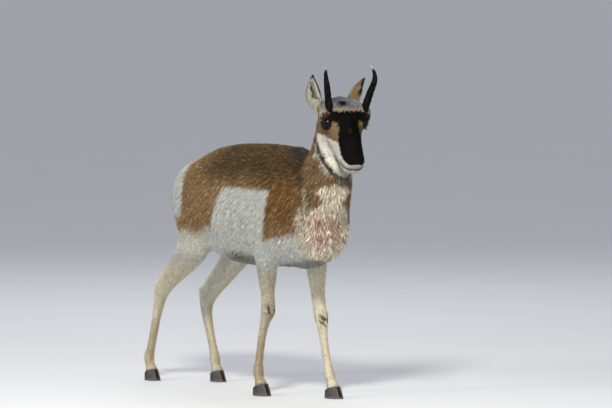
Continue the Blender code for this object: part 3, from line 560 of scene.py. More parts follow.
# %% [markdown]
# ## How deep the coat is
#
# A pronghorn's winter coat is deep on the trunk and rump, short on the legs, and lies close on
# the face. One function gives its depth at every place. The skin moves in by that depth, and
# later the tufts rise out again by about the same amount, so the outline stays near where it was.

# %% Depth of the coat
LEG_TOP, LEG_LOW = 0.50, 0.36
TRUNK_DEPTH, THIGH_DEPTH, SHIN_DEPTH, BELLY_DEPTH, FACE_DEPTH = 0.0090, 0.0050, 0.0022, 0.0075, 0.0030
# The share of its triangles that the skin keeps
SKIN_KEEP = 0.50
# The line under the jaw where face hair ends: how far along the nose, then the height
JAW_ALONG = (-0.060, -0.030, -0.024, 0.002, 0.029, 0.054, 0.075, 0.083, 0.100)
JAW_UP = (-0.040, -0.066, -0.074, -0.094, -0.109, -0.126, -0.148, -0.168, -0.230)
# Under the throat it is a U: how far out from its middle, then the height above the floor
THROAT_MIDDLE = 0.012
THROAT_OUT = (0.0, 0.012, 0.044, 0.070, 0.086)
THROAT_UP = (0.764, 0.765, 0.782, 0.814, 0.865)


def throat_places(head):
    """How far out and how high places are on the throat, and 1 where they belong to it."""
    animal = HEAD_CENTRE + head @ HEAD_AXES
    return np.abs(animal[:, 1] - THROAT_MIDDLE), animal[:, 2], ramp(-head[:, 2], 0.108, 0.128)


def jaw_distance(head):
    """How far places on the head lie above the line that runs under the jaw and the throat."""
    along, _, up = head.T
    jaw = (up - np.interp(along, JAW_ALONG, JAW_UP)) * 0.8
    out, height, at_throat = throat_places(head)
    throat = (height - np.interp(out, THROAT_OUT, THROAT_UP)) * 0.8
    return jaw * (1 - at_throat) + throat * at_throat


def on_head(animal, head):
    """1 on the head, 0 on the neck and the rest."""
    behind = ramp(head[:, 0] + 0.5 * head[:, 2], -0.105, -0.085)
    above = ramp(jaw_distance(head), -0.006, 0.006)
    return behind * above * ramp(animal[:, 0], 0.22, 0.25)


def coat_depth(animal, head):
    """The depth of the coat at each place, in metres."""
    forward, left, height = animal.T
    along, _, up = head.T
    depth = np.full(len(animal), TRUNK_DEPTH)
    depth += 0.006 * ramp(-0.48 - forward, 0, 0.05) * ramp(height, 0.56, 0.62)
    depth += 0.005 * ramp(forward, 0.16, 0.22) * ramp(0.66 - height, 0, 0.05)
    thigh = ramp(LEG_TOP - height, -0.06, 0.06)
    depth = depth * (1 - thigh) + THIGH_DEPTH * thigh
    low = ramp(LEG_LOW - height, 0, 0.08)
    depth = depth * (1 - low) + SHIN_DEPTH * low
    belly = ramp(0.52 - height, 0, 0.05) * ramp(height, 0.41, 0.43) * ramp(0.09 - np.abs(left), 0, 0.03)
    depth = np.maximum(depth, BELLY_DEPTH * belly)
    face = on_head(animal, head)
    short = FACE_DEPTH + 0.0050 * ramp(-0.012 - along, 0, 0.02) * ramp(up, 0.01, 0.035)
    short = short - 0.0018 * ramp(along, 0.06, 0.12)
    short = short * ramp(eye_distance(head), 0.026, 0.042)
    return depth * (1 - face) + short * face


points = points_of(skin.data)
animal = to_animal(points)
depth = coat_depth(animal, to_head(animal))
move_points(skin.data, points - normals_of(skin.data) * depth[:, None])
smoothed(skin.data, passes=1, pull=0.3)

# Long hair hides the trunk, so the skin is thinned out there, less on the legs, not on the head
spare = skin.vertex_groups.new(name="spare")
kept = on_head(animal, to_head(animal))
hidden = np.round((1 - kept) * (1 - 0.4 * ramp(LEG_TOP - animal[:, 2], 0, 0.06)), 1)
for share in np.unique(hidden[hidden > 0]):
    spare.add(np.nonzero(hidden == share)[0].tolist(), float(share), "REPLACE")
thinner = skin.modifiers.new("Decimate", "DECIMATE")
thinner.ratio = SKIN_KEEP
thinner.vertex_group = spare.name
apply_modifiers(skin)
skin.vertex_groups.clear()
skin.data.shade_smooth()
print("thinned out, the skin has", len(skin.data.polygons), "faces")
print("the coat is", (depth.min() * 1000).round(1), "to", (depth.max() * 1000).round(1), "mm deep")

# %% [markdown]
# ## The markings
#
# The pattern is what names the animal: a brown back and shoulder, a square white panel on the
# flank, white rump and belly, a pale patch across the throat, and the buck's black mask. Each
# marking is a soft-edged field, a formula of where a point lies, so skin and hair tufts can
# both ask for their colour at any point and always agree.

# %% Named colours, as linear light
SADDLE = (0.092, 0.059, 0.028)
SHOULDER = (0.250, 0.138, 0.054)
HAUNCH = (0.360, 0.228, 0.115)
NECK_BROWN = (0.265, 0.172, 0.088)
WHITE = (0.730, 0.745, 0.690)
CREAM = (0.800, 0.735, 0.560)
TAN = (0.480, 0.310, 0.160)
FACE_WHITE = (0.740, 0.720, 0.620)
FACE_TAN = (0.245, 0.160, 0.078)
EAR_BACK = (0.215, 0.136, 0.062)
# Painted shade under the lower lids
UNDER_EYE_SHADE = (0.090, 0.065, 0.030)
BLACK = (0.0035, 0.0030, 0.0030)
DARK_BROWN = (0.050, 0.030, 0.016)
# Dark mane hair, also laid on as painted shade: the belly's shadow, the neck's crease and the jaw's line
MANE_AND_SHADE = (0.045, 0.038, 0.034)
# A grey laid on as painted shade: under the belly, behind the fore legs and under the chin
SHADE_GREY = (0.115, 0.125, 0.120)
FOREHEAD = (0.300, 0.275, 0.215)
CROWN = (0.210, 0.235, 0.250)
RUST = (0.460, 0.110, 0.075)
LIP = (0.540, 0.515, 0.440)
EAR_HAIR = (0.390, 0.385, 0.320)
CHEST = (0.840, 0.750, 0.600)

# The white panel's back and front edges: heights, then how far forward each edge is there
PANEL_HEIGHTS = (0.480, 0.506, 0.560, 0.600, 0.660, 0.725)
PANEL_BACK = (-0.300, -0.290, -0.258, -0.258, -0.235, -0.200)
PANEL_FRONT = (0.020, 0.024, 0.032, 0.038, 0.045, 0.050)
PANEL_TOP = 0.716
# Where the brown ends below: how far forward, then the height
BROWN_FORWARD = (-0.72, -0.476, -0.383, -0.28, 0.02, 0.067, 0.133, 0.188, 0.26)
BROWN_BELOW = (0.545, 0.562, 0.556, 0.574, 0.540, 0.546, 0.562, 0.579, 0.625)
# The pale throat patch: heights, then half its width there
PATCH_HEIGHTS = (0.640, 0.672, 0.698, 0.716, 0.734)
PATCH_HALF = (0.078, 0.036, 0.050, 0.062, 0.046)
# The mask's edge on the side of the face: how far along the nose, then the height
MASK_ALONG = (0.012, 0.016, 0.034, 0.051, 0.083, 0.124, 0.165, 0.190)
MASK_BELOW = (0.034, 0.034, 0.023, 0.015, -0.009, -0.021, -0.020, -0.018)
# The tan round the eye ends below at these heights
TAN_ALONG = (-0.040, -0.017, 0.026, 0.060, 0.085)
TAN_BELOW = (-0.072, -0.062, -0.042, -0.021, -0.006)
MOUTH_HEIGHT = -0.0380
# The stains on the chest: how far left, how high and how wide each is
STAINS = ((-0.061, 0.606, 0.030), (-0.045, 0.545, 0.026), (-0.005, 0.585, 0.036))
# The crease between neck and shoulder: heights, then how far forward it is there
FOLD_HEIGHTS = (0.722, 0.755, 0.787, 0.819, 0.851)
FOLD_FORWARD = (0.192, 0.178, 0.146, 0.110, 0.066)
# How far up the knee of the right and of the left fore leg is
KNEES = (0.300, 0.262)


def paint(colour, tint, mask):
    """Lays a tint over colours where the mask says so."""
    return colour + (np.array(tint) - colour) * mask[:, None]


def ragged(points, amount, seed):
    """The points moved about a little, so that the edges of markings look like hair."""
    coarse = [ripple(points, 0.016, seed + axis) for axis in range(3)]
    fine = [ripple(points, 0.007, seed + 9 + axis) for axis in range(3)]
    return points + amount * (np.stack(coarse, 1) + 0.6 * np.stack(fine, 1))


# %% The body's markings
def body_colour(animal):
    """The colour of trunk, neck, legs and tail."""
    forward, left, height = ragged(animal, 0.0052, 21).T
    side = np.abs(left)
    colour = np.tile(np.array(HAUNCH), (len(animal), 1))
    colour = paint(colour, SHOULDER, ramp(forward, -0.12, 0.04))
    colour = paint(colour, SADDLE, 0.92 * ramp(height, 0.690, 0.800) * ramp(forward, -0.52, -0.24))
    colour = paint(colour, HAUNCH, 0.6 * ramp(0.63 - height, 0, 0.05) * ramp(forward, -0.05, 0.02))
    colour = paint(colour, NECK_BROWN, ramp(forward, 0.15, 0.22))
    back, front = (np.interp(height, PANEL_HEIGHTS, edge) for edge in (PANEL_BACK, PANEL_FRONT))
    panel = ramp(forward - back, -0.007, 0.007) * ramp(front - forward, -0.008, 0.008)
    panel = panel * ramp(PANEL_TOP - height, -0.008, 0.008)
    colour = paint(colour, WHITE, panel)
    below = np.interp(forward, BROWN_FORWARD, BROWN_BELOW) - height
    colour = paint(colour, CREAM, ramp(below, -0.016, 0.026))
    belly = ramp(below, -0.010, 0.020) * ramp(height, 0.40, 0.47) * ramp(forward, -0.345, -0.30)
    colour = paint(colour, WHITE, belly * ramp(0.20 - forward, 0, 0.05))
    thigh = ramp(below, 0.0, 0.04) * ramp(-0.30 - forward, 0, 0.05) * ramp(height, 0.40, 0.47)
    colour = paint(colour, WHITE, 0.6 * thigh)
    tuft = bell(forward, -0.176, 0.05) * bell(height, 0.468, 0.022) * ramp(side, 0.04, 0.08)
    colour = paint(colour, CREAM, 0.8 * tuft)
    # Painted shade on the underside of the belly, between the legs
    under = ramp(0.500 - height, 0, 0.03) * ramp(height, 0.41, 0.44) * ramp(forward, -0.30, -0.24)
    under = under * ramp(0.13 - side, 0, 0.03) * (1 - ramp(forward, -0.10, -0.06) * ramp(side, 0.045, 0.065))
    colour = paint(colour, SHADE_GREY, 0.60 * under)
    # Painted shadow of the belly behind the elbow, broken up like hair
    shadow = bell(forward, -0.185, 0.045) * bell(height, 0.480, 0.018) * ramp(side, 0.04, 0.07)
    colour = paint(colour, MANE_AND_SHADE, 0.75 * shadow * ramp(ripple(animal, 0.012, 27), -0.6, 0.4))
    rump = ramp(-0.500 + 0.25 * (side - 0.10) - forward, -0.008, 0.010) * ramp(height, 0.585, 0.615)
    colour = paint(colour, WHITE, rump)
    return neck_colour(colour, forward, left, height)


def neck_colour(colour, forward, left, height):
    """The pale throat patch, the mottled chest, the dark mane, and painted shade in the crease between neck
    and shoulder.
    """
    side = np.abs(left)
    half = np.interp(height, PATCH_HEIGHTS, PATCH_HALF)
    patch = ramp(half - np.abs(left + 0.014), -0.007, 0.007) * ramp(0.734 - height, -0.006, 0.008)
    patch = patch * ramp(forward, 0.205, 0.225)
    chest = ramp(0.652 - height, -0.008, 0.016) * ramp(forward + 0.35 * side, 0.205, 0.225)
    chest = chest * (1 - ramp(left, 0.048, 0.062) * ramp(height, 0.55, 0.58))
    pale = np.maximum(patch, chest)
    colour = paint(colour, CHEST, pale)
    places = np.stack((forward, left, height), 1)
    mottle = ramp(ripple(places, 0.011, 25), 0.10, 0.8) * ramp(height, 0.48, 0.56)
    colour = paint(colour, DARK_BROWN, 0.72 * chest * mottle)
    stripe = bell(forward, 0.205, 0.006) * ramp(height, 0.63, 0.66) * ramp(0.735 - height, 0, 0.02)
    colour = paint(colour, CREAM, 0.75 * stripe * ramp(side, 0.07, 0.085))
    blots = ramp(ripple(places, 0.012, 26), -0.5, 0.5) * ramp(forward, 0.19, 0.21)
    for place_left, place_up, wide in STAINS:
        stain = bell(left, place_left, wide) * bell(height, place_up, wide)
        colour = paint(colour, RUST, 0.80 * stain * blots)
    # Painted shade along the crease between neck and shoulder, widened behind it and broken up like hair
    fold = np.interp(height, FOLD_HEIGHTS, FOLD_FORWARD)
    crease = bell(forward, fold, 0.014) * ramp(height, 0.70, 0.76) * ramp(0.87 - height, 0, 0.02)
    colour = paint(colour, MANE_AND_SHADE, 0.85 * crease)
    behind = bell(forward, fold - 0.020, 0.022) * ramp(height, 0.765, 0.800) * ramp(0.865 - height, 0, 0.02)
    colour = paint(colour, MANE_AND_SHADE, 0.80 * behind * ramp(ripple(places, 0.014, 28), -0.6, 0.5))
    nape = ramp(0.034 - side, -0.010, 0.014) * ramp(height, 0.82, 0.845) * ramp(forward, -0.02, 0.05)
    return paint(colour, MANE_AND_SHADE, 0.90 * nape)


def leg_colour(colour, animal, facing):
    """Orange tan on the fronts of the legs, painted grey shade behind the fore legs, smudged knees, and
    painted light on the left fore leg and the hind legs.
    """
    forward, left, height = animal.T
    leg = ramp(0.47 - height, 0, 0.06)
    front = ramp(facing[:, 0], 0.45, 0.95)
    behind = ramp(-facing[:, 0], 0.4, 0.95)
    inner = ramp(-facing[:, 1] * np.sign(left), 0.2, 0.8)
    colour = paint(colour, TAN, 0.36 * leg * front)
    colour = paint(colour, TAN, 0.42 * ramp(0.25 - height, 0, 0.08))
    # Painted grey shade on the backs of the fore legs
    colour = paint(colour, SHADE_GREY, 0.30 * leg * behind * ramp(forward, -0.3, -0.2))
    colour = paint(colour, TAN, 0.60 * leg * behind * ramp(-0.3 - forward, 0, 0.1))
    colour = paint(colour, WHITE, 0.45 * leg * inner)
    # Painted light: the left fore leg is made paler
    colour = paint(colour, CREAM, 0.45 * leg * ramp(left, 0.0, 0.03) * ramp(forward, -0.2, -0.1))
    dark_patch = bell(height, np.where(left < 0, *KNEES), 0.024)
    dark_patch = dark_patch * ramp(facing[:, 0], 0.1, 0.7) * ramp(forward, -0.2, -0.1)
    dark_patch = dark_patch * ramp(ripple(animal, 0.013, 5), -0.3, 0.3)
    colour = paint(colour, DARK_BROWN, 0.92 * dark_patch)
    speck = ramp(ripple(animal, 0.0085, 6) + 0.5 * ripple(animal, 0.03, 7), 1.0, 1.4)
    colour = paint(colour, DARK_BROWN, 0.35 * speck * leg)
    # Painted light: the left fore leg and the hind legs are made brighter
    painted_leg_light = np.where(forward > -0.2, 0.26 * ramp(left, 0.0, 0.03), 0.14)
    return colour * (1 + leg * painted_leg_light)[:, None]


# %% The head's markings
def head_colour(colour, animal, head):
    """The mask, the brow band, the tan and white cheeks, the lips, the dark line of the jaw, which is partly
    painted shade, and painted shade under the eyes.
    """
    along, across, up = ragged(head, 0.0022, 31).T
    side = np.abs(across)
    above = jaw_distance(np.stack((along, across, up), 1))
    near = ramp(animal[:, 0], 0.225, 0.240) * ramp(animal[:, 2], 0.735, 0.755)
    out, _, at_throat = throat_places(head)
    crescent = bell(above, -0.0190, 0.0100) * ramp(along, -0.02, 0.005)
    crescent = crescent * ramp(out, 0.030, 0.044) * ramp(0.09 - along, 0, 0.01)
    colour = paint(colour, FACE_WHITE, 0.85 * near * crescent)
    face = ramp(above, -0.003, 0.003) * near * ramp(along + 0.5 * up, -0.105, -0.085)
    colour = paint(colour, FACE_WHITE, face)
    chin = ramp(0.040 - out, -0.006, 0.014) * at_throat
    broad = 0.0072 + 0.0022 * at_throat + 0.0060 * chin
    line = bell(above, -0.002 - 0.008 * chin, broad) * ramp(along, -0.070, -0.050)
    nape_edge = bell(above, -0.012, 0.007) * ramp(-0.008 - along, 0, 0.02) * ramp(along, -0.09, -0.07)
    colour = paint(colour, DARK_BROWN, 0.65 * ramp(animal[:, 0], 0.20, 0.22) * nape_edge)
    # The dark line under the jaw: partly the buck's dark cheek patch, partly painted shade between jaw and
    # throat; under the chin, grey hair with painted shade
    colour = paint(colour, MANE_AND_SHADE, 0.97 * near * line * (1 - chin))
    colour = paint(colour, SHADE_GREY, 0.92 * ramp(animal[:, 0], 0.225, 0.240) * line * chin)
    tan = ramp(up - np.interp(along, TAN_ALONG, TAN_BELOW), -0.004, 0.006) * ramp(0.100 - along, 0, 0.01)
    colour = paint(colour, FACE_TAN, face * tan)
    # Painted shade under the lower lid
    dark_patch = bell(along, 0.004, 0.014) * bell(up, -0.026, 0.009) * ramp(side, 0.04, 0.055)
    colour = paint(colour, UNDER_EYE_SHADE, 0.75 * face * dark_patch)
    streak = ripple(np.stack((along * 0.15, across, up * 0.15), 1), 0.0050, 33)
    top = face * ramp(-0.012 + 0.0035 * streak - along, -0.006, 0.004) * ramp(up, 0.012, 0.026)
    colour = paint(colour, FOREHEAD, top)
    colour = paint(colour, CROWN, top * ramp(-0.032 + 0.004 * streak - along, 0, 0.016))
    colour = paint(colour, MANE_AND_SHADE, 0.55 * top * ramp(streak, 0.3, 1.1))
    spot = bell(along, -0.046, 0.009) * bell(across, -0.011, 0.016)
    colour = paint(colour, BLACK, np.minimum(1.0, 1.8 * spot) * top)
    band = face * ramp(along - 0.003 * streak, -0.013, -0.007)
    band = band * ramp(0.019 - along, -0.004, 0.004) * ramp(up, 0.010, 0.020)
    colour = paint(colour, BLACK, band)
    colour = paint(colour, DARK_BROWN, 0.8 * band * ramp(side, 0.060, 0.070) * ramp(0.005 - along, 0, 0.01))
    mask = ramp(up - np.interp(along, MASK_ALONG, MASK_BELOW), -0.003, 0.003) * ramp(along, 0.006, 0.012)
    colour = paint(colour, BLACK, face * mask)
    spot = bell(along, 0.058, 0.009) * bell(across, 0.0, 0.007)
    colour = paint(colour, DARK_BROWN, 0.45 * spot * face)
    rim = 1 - ramp(eye_distance(head), 0.0248, 0.0272)
    colour = paint(colour, BLACK, rim * face)
    return muzzle_colour(colour, along, side, up, face)


def muzzle_colour(colour, along, side, up, face):
    """The pale upper lip, the dark line of the mouth widened by painted shade, and the pale chin with
    painted shade under it.
    """
    lip = ramp(along, 0.128, 0.140) * ramp(-0.0215 - up, -0.002, 0.003)
    lip = lip * ramp(up, MOUTH_HEIGHT, MOUTH_HEIGHT + 0.002)
    colour = paint(colour, LIP, lip * face)
    # Painted shade on the underside of the chin
    colour = paint(colour, SHADE_GREY, 0.35 * face * ramp(-0.052 - up, 0, 0.012) * ramp(along, 0.10, 0.13))
    # The mouth's dark gap, widened by painted shade along the lips
    gap = bell(up, MOUTH_HEIGHT - 0.0032, 0.0062) * ramp(along, 0.126, 0.146)
    colour = paint(colour, BLACK, 0.92 * gap * face)
    nostril = bell(along, 0.1715, 0.008) * bell(side, 0.0185, 0.006) * bell(up, -0.0115, 0.005)
    return paint(colour, BLACK, nostril)


def coat_colour(points, facing):
    """The colour of skin or hair at model points that face certain ways."""
    animal = to_animal(points)
    head = to_head(animal)
    colour = leg_colour(body_colour(animal), animal, to_animal(facing + FLOOR_SPOT))
    return head_colour(colour, animal, head)


# A tuft shows its colour this far along its length and its lift
SEEN_ALONG, SEEN_UP = 0.55, 0.7


def tuft_colour(roots, facing, lie, length, lift):
    """The colour of hair, read where the hair is seen: half way along it, not at its root."""
    along = laid_flat(lie, facing) * (length * SEEN_ALONG)[:, None]
    return coat_colour(roots + along + facing * (lift * SEEN_UP)[:, None], facing)


def store_colour(mesh, colour):
    """Keeps a colour for each point of a mesh, under a name that the materials read."""
    layer = mesh.attributes.new(COLOUR_LAYER, "FLOAT_COLOR", "POINT")
    opaque = np.hstack((colour, np.ones((len(colour), 1))))
    layer.data.foreach_set("color", opaque.astype(np.float32).ravel())


# The skin is painted darker than the hair over it by this much, as shade under the coat
SKIN_SHADE = 0.8
skin_colour = coat_colour(points_of(skin.data), normals_of(skin.data))
store_colour(skin.data, skin_colour * SKIN_SHADE)
print("the skin's mean colour is", skin_colour.mean(0).round(3))

# %% [markdown]
# ## Which way the hair lies
#
# Hair runs from the nose over the forehead, down the neck, back along the trunk and down the
# legs, and it parts round the eyes. A field of directions says so for any point. Each direction
# is laid flat on the skin later, so it only has to be roughly right here.

# %% The lie of the hair
def blend_to(flow, other, share):
    """Turns directions towards others by a share."""
    return flow + (np.asarray(other) - flow) * share[:, None]


def hair_lie(points):
    """The direction in which hair lies at model points."""
    animal = to_animal(points)
    head = to_head(animal)
    forward, left, height = animal.T
    outward = np.sign(left)
    flow = np.tile(np.array((-0.85, 0.0, -0.55)), (len(points), 1))
    flow = blend_to(flow, (-0.40, 0.0, -1.0), ramp(0.76 - height, 0, 0.06))
    flow = blend_to(flow, (-0.8, 0.0, -0.45), ramp(0.54 - height, 0, 0.06))
    neck = np.stack((-0.40 + 0 * left, 0.10 * outward, -1.0 + 0 * left), 1)
    flow = blend_to(flow, neck, ramp(forward, 0.10, 0.20))
    rump = np.stack((-0.75 + 0 * left, 0.40 * outward, -1.0 + 0 * left), 1)
    flow = blend_to(flow, rump, ramp(-0.50 - forward, 0, 0.05))
    on_leg = ramp(LEG_TOP - height, -0.02, 0.06) * ramp(np.abs(left), 0.03, 0.06)
    flow = blend_to(flow, (-0.12, 0.0, -1.0), on_leg)
    along, across, up = head.T
    on_face = np.stack((-1.0 + 0 * along, 0.30 * np.sign(across), -0.20 + 0 * along), 1)
    on_face = blend_to(on_face, (-1.0, 0.0, -0.55), ramp(-0.02 - up, 0, 0.03))
    on_face = blend_to(on_face, (-0.55, 0.0, 0.80), ramp(0.008 - along, 0, 0.02) * ramp(up, 0.0, 0.02))
    eye = np.stack((0 * along + EYE_PLACE[0], EYE_PLACE[1] * np.sign(across), 0 * along + EYE_PLACE[2]), 1)
    on_face = blend_to(unit(on_face), unit(head - eye), 0.9 * (1 - ramp(eye_distance(head), 0.028, 0.045)))
    return blend_to(to_model(unit(flow), True), to_model(on_face @ HEAD_AXES, True), on_head(animal, head))


# %% [markdown]
# ## One tuft, many tufts
#
# Hair as curves would be lost in the export, so each tuft is a thin closed wedge. On the deep
# coat it bends once on its way to the tip, which takes ten triangles. On the face, the ears and
# the legs a straight wedge of four triangles is enough, and there can be many more of them.
# Every tuft also gets a small patch on a baking map, where the skin under its root unrolls to.

# %% Unroll the skin for baking
CHART_NAMES = FLESH + ["ear_right", "ear_left"]
CHART_COLUMNS = 4
PATCH = 0.003
chart_axes = {}
for name in CHART_NAMES:
    spread = points_of(frame["nodes"][name].data)
    middle = spread.mean(0)
    _, _, axes = np.linalg.svd(spread[:: max(1, len(spread) // 400)] - middle, full_matrices=False)
    reach = (spread - middle) @ axes[0]
    chart_axes[name] = (middle, axes, reach.min(), reach.max())


def unroll(points, charts):
    """Places on the baking map: each chart is a body part, rolled off round its own long axis."""
    spots = np.empty((len(points), 2))
    for number, name in enumerate(CHART_NAMES):
        mine = charts == number
        middle, axes, low, high = chart_axes[name]
        local = (points[mine] - middle) @ axes.T
        around = np.arctan2(local[:, 2], local[:, 1]) / (2 * math.pi) + 0.5
        along = (local[:, 0] - low) / (high - low)
        cell = np.array((number % CHART_COLUMNS, number // CHART_COLUMNS))
        spots[mine] = (cell + 0.04 + 0.92 * np.stack((around, along.clip(0, 1)), 1)) / CHART_COLUMNS
    return spots


# %% Build tufts as arrays
WEDGE_FACES = {
    4: np.array([(0, 2, 1), (0, 1, 3), (1, 2, 3), (2, 0, 3)]),
    10: np.array(
        [(0, 2, 1)]
        + [(i, (i + 1) % 3, 3 + (i + 1) % 3) for i in range(3)]
        + [(i, 3 + (i + 1) % 3, 3 + i) for i in range(3)]
        + [(3 + i, 3 + (i + 1) % 3, 6) for i in range(3)]
    ),
}
# Where the points of a tuft lie on its patch of the baking map: root, bend and tip
RING_SPOTS = np.array(
    [(-1.0, -0.9), (0.0, -1.0), (1.0, -0.9), (-0.8, 0.1), (0.0, 0.0), (0.8, 0.1), (0.0, 1.0)]
)
# Painted shade across each tuft's root and its bend, and painted light at its tip
ROOT_SHADES, BEND_SHADES, TIP_SHADE = [0.74, 0.82, 0.74], [0.94, 1.0, 0.94], 1.10
ROOT_SINK = 0.0012
# The bend stands this far along a tuft's length and its lift
BEND_ALONG, BEND_UP = 0.42, 0.72


def tuft_mesh(name, kind, roots, facing, lie, length, width, lift, colour, charts, draw):
    """A mesh of closed wedges that leave the skin at their roots and bend to their tips."""
    count = len(roots)
    lie = laid_flat(lie, facing)
    across = np.cross(facing, lie)
    wide = (across * width[:, None]) / 2
    thick = facing * (width[:, None] * 0.22 + 0.0002)
    sway = across * (length * draw.normal(0, 0.07, count))[:, None]
    base = roots - facing * ROOT_SINK
    tip = roots + lie * length[:, None] + facing * lift[:, None] + sway
    middle = roots + lie * (length * BEND_ALONG)[:, None] + facing * (lift * BEND_UP)[:, None] + sway * 0.2
    rings = [base - wide, base + thick, base + wide]
    shades = list(ROOT_SHADES)
    if kind == 10:
        rings += [middle - wide * 0.8, middle + thick * 0.7, middle + wide * 0.8]
        shades += BEND_SHADES
        spots = RING_SPOTS
    else:
        spots = RING_SPOTS[[0, 1, 2, 6]]
    rings.append(tip)
    shades.append(TIP_SHADE)
    sides = len(rings)
    points = np.stack(rings, 1).reshape(-1, 3)
    faces = (WEDGE_FACES[kind][None] + (np.arange(count) * sides)[:, None, None]).reshape(-1, 3)
    mesh = bpy.data.meshes.new(name)
    mesh.vertices.add(len(points))
    mesh.vertices.foreach_set("co", points.ravel())
    mesh.loops.add(faces.size)
    mesh.loops.foreach_set("vertex_index", faces.ravel())
    mesh.polygons.add(len(faces))
    mesh.polygons.foreach_set("loop_start", np.arange(0, faces.size, 3))
    mesh.update(calc_edges=True)
    # Painted shade is weaker on pale hair than on dark hair
    depth_of_shade = np.interp(colour.mean(1), (0.05, 0.50), (1.0, 0.45))[:, None]
    tint = colour[:, None, :] * (1 + (np.array(shades)[None] - 1) * depth_of_shade)[:, :, None]
    store_colour(mesh, tint.reshape(-1, 3))
    patch = unroll(roots, charts)[:, None, :] + spots[None] * (PATCH / 2)
    layer = mesh.uv_layers.new(name="OFBake")
    layer.data.foreach_set("uv", patch.reshape(-1, 2)[faces.ravel()].astype(np.float32).ravel())
    return new_object(name, mesh)


# %% Scatter roots over a surface
def scatter(mesh, number_at, draw):
    """Roots spread over a mesh. Number_at says how many stand on a square metre at places."""
    mesh.calc_loop_triangles()
    corners = np.empty(len(mesh.loop_triangles) * 3, int)
    mesh.loop_triangles.foreach_get("vertices", corners)
    corners = corners.reshape(-1, 3)
    points, normals = points_of(mesh), normals_of(mesh)
    a, b, c = (points[corners[:, i]] for i in range(3))
    area = np.linalg.norm(np.cross(b - a, c - a), axis=1) / 2
    share = area * number_at((a + b + c) / 3)
    count = np.floor(share + draw.random(len(share))).astype(int)
    chosen = np.repeat(np.arange(len(count)), count)
    first, second = draw.random((2, len(chosen)))
    folded = first + second > 1
    first[folded], second[folded] = 1 - first[folded], 1 - second[folded]
    weights = np.stack((1 - first - second, first, second), 1)[:, :, None]
    roots = (points[corners[chosen]] * weights).sum(1)
    facing = unit((normals[corners[chosen]] * weights).sum(1))
    return roots, facing


chart_tree = KDTree(sum(len(frame["nodes"][name].data.vertices) for name in CHART_NAMES))
chart_owners = []
for number, name in enumerate(CHART_NAMES):
    for point in points_of(frame["nodes"][name].data):
        chart_tree.insert(point, len(chart_owners))
        chart_owners.append(number)
chart_tree.balance()


def chart_numbers(points):
    """The number of the body part that each point lies nearest to."""
    return np.array([chart_owners[chart_tree.find(point)[1]] for point in points])


# %% [markdown]
# ## The deep coat of trunk, neck and thighs
#
# This hair is hollow and brittle and lies like thatch. Its tufts are long, overlap several
# times and swing a little together, which gives the coat its soft waves. The mane on the nape
# and withers is longer and darker, and the rump's white hair stands out like a powder puff.

# %% Length and number of the deep coat
THATCH_PER_SQUARE_METRE = 46000
FILL_PER_SQUARE_METRE = 136000
FINE_BELOW, FINE_ABOVE = 0.45, 0.51
BODY_HAIR = 0.019


def is_fine(points):
    """1 where short straight wedges stand: on the head and the lower legs."""
    animal = to_animal(points)
    leg = ramp(FINE_ABOVE - animal[:, 2], 0, FINE_ABOVE - FINE_BELOW)
    belly = ramp(animal[:, 2], 0.40, 0.41) * ramp(0.065 - np.abs(animal[:, 1]), 0, 0.01)
    return np.maximum(leg * (1 - belly), on_head(animal, to_head(animal)))


def body_length(animal):
    """The length of the deep coat's tufts: longer on rump, chest and mane, shorter below."""
    forward, left, height = animal.T
    side = np.abs(left)
    length = np.full(len(animal), BODY_HAIR)
    length += 0.015 * ramp(-0.49 - forward, 0, 0.04) * ramp(height, 0.58, 0.64)
    length += 0.008 * ramp(forward, 0.18, 0.23) * ramp(0.68 - height, 0, 0.06) * ramp(height, 0.46, 0.54)
    length -= 0.005 * ramp(0.60 - height, 0, 0.10) * ramp(0.18 - forward, 0, 0.04)
    length += 0.016 * ramp(0.026 - side, 0, 0.012) * ramp(height, 0.83, 0.85) * ramp(forward, -0.06, 0.04)
    length -= 0.006 * ramp(0.56 - height, 0, 0.08) * ramp(-0.28 - forward, 0, 0.04)
    return length


def deep_coat(per_square_metre, long, wide, high, draw):
    """The roots and shapes of one layer of the deep coat, as a list of arrays for the tufts."""
    roots, facing = scatter(skin.data, lambda spots: per_square_metre * (1 - is_fine(spots)), draw)
    animal = to_animal(roots)
    forward, _, height = animal.T
    length = body_length(animal) * draw.uniform(0.72, 1.28, len(roots)) * long
    lie = laid_flat(hair_lie(roots), facing)
    chest = ramp(forward, 0.17, 0.21) * ramp(0.67 - height, 0, 0.04)
    swing = (0.16 + 0.35 * chest) * ripple(roots, 0.075, 41)
    swing = swing + (0.09 + 0.40 * chest) * ripple(roots, 0.024, 42)
    swing = swing + draw.normal(0, 0.09, len(roots)) * (1 + 1.2 * chest)
    lie = lie + np.cross(facing, lie) * swing[:, None]
    waves = 0.84 + 0.12 * ripple(roots, 0.030, 43) + draw.normal(0, 0.09, len(roots))
    lift = coat_depth(animal, to_head(animal)) * waves.clip(0.3, 1.2) * high
    width = 0.0006 + wide * length
    colour = tuft_colour(roots, facing, lie, length, lift)
    rough = np.interp(colour.mean(1), (0.10, 0.50), (1.0, 0.36))
    rough = np.maximum(rough, 0.85 * ramp(forward, 0.18, 0.21) * ramp(0.75 - height, 0, 0.02))
    flecks = ripple(roots * np.array((1.0, 0.8, 0.5)), 0.009, 44) + 0.5 * ripple(roots, 0.004, 46)
    # Long upright streaks of painted shade and light stand for the coat's folds; the grain carries them with
    # the random tone and the flecks
    painted_folds = ripple(roots * np.array((1.0, 1.0, 0.16)), 0.020, 45)
    grain = np.exp(rough * (draw.normal(0, 0.38, len(roots)) + 0.40 * flecks + 0.14 * painted_folds))
    colour = colour * grain[:, None]
    print("a layer of the deep coat has", len(roots), "tufts")
    return [roots, facing, lie, length, width, lift, colour, chart_numbers(roots)]


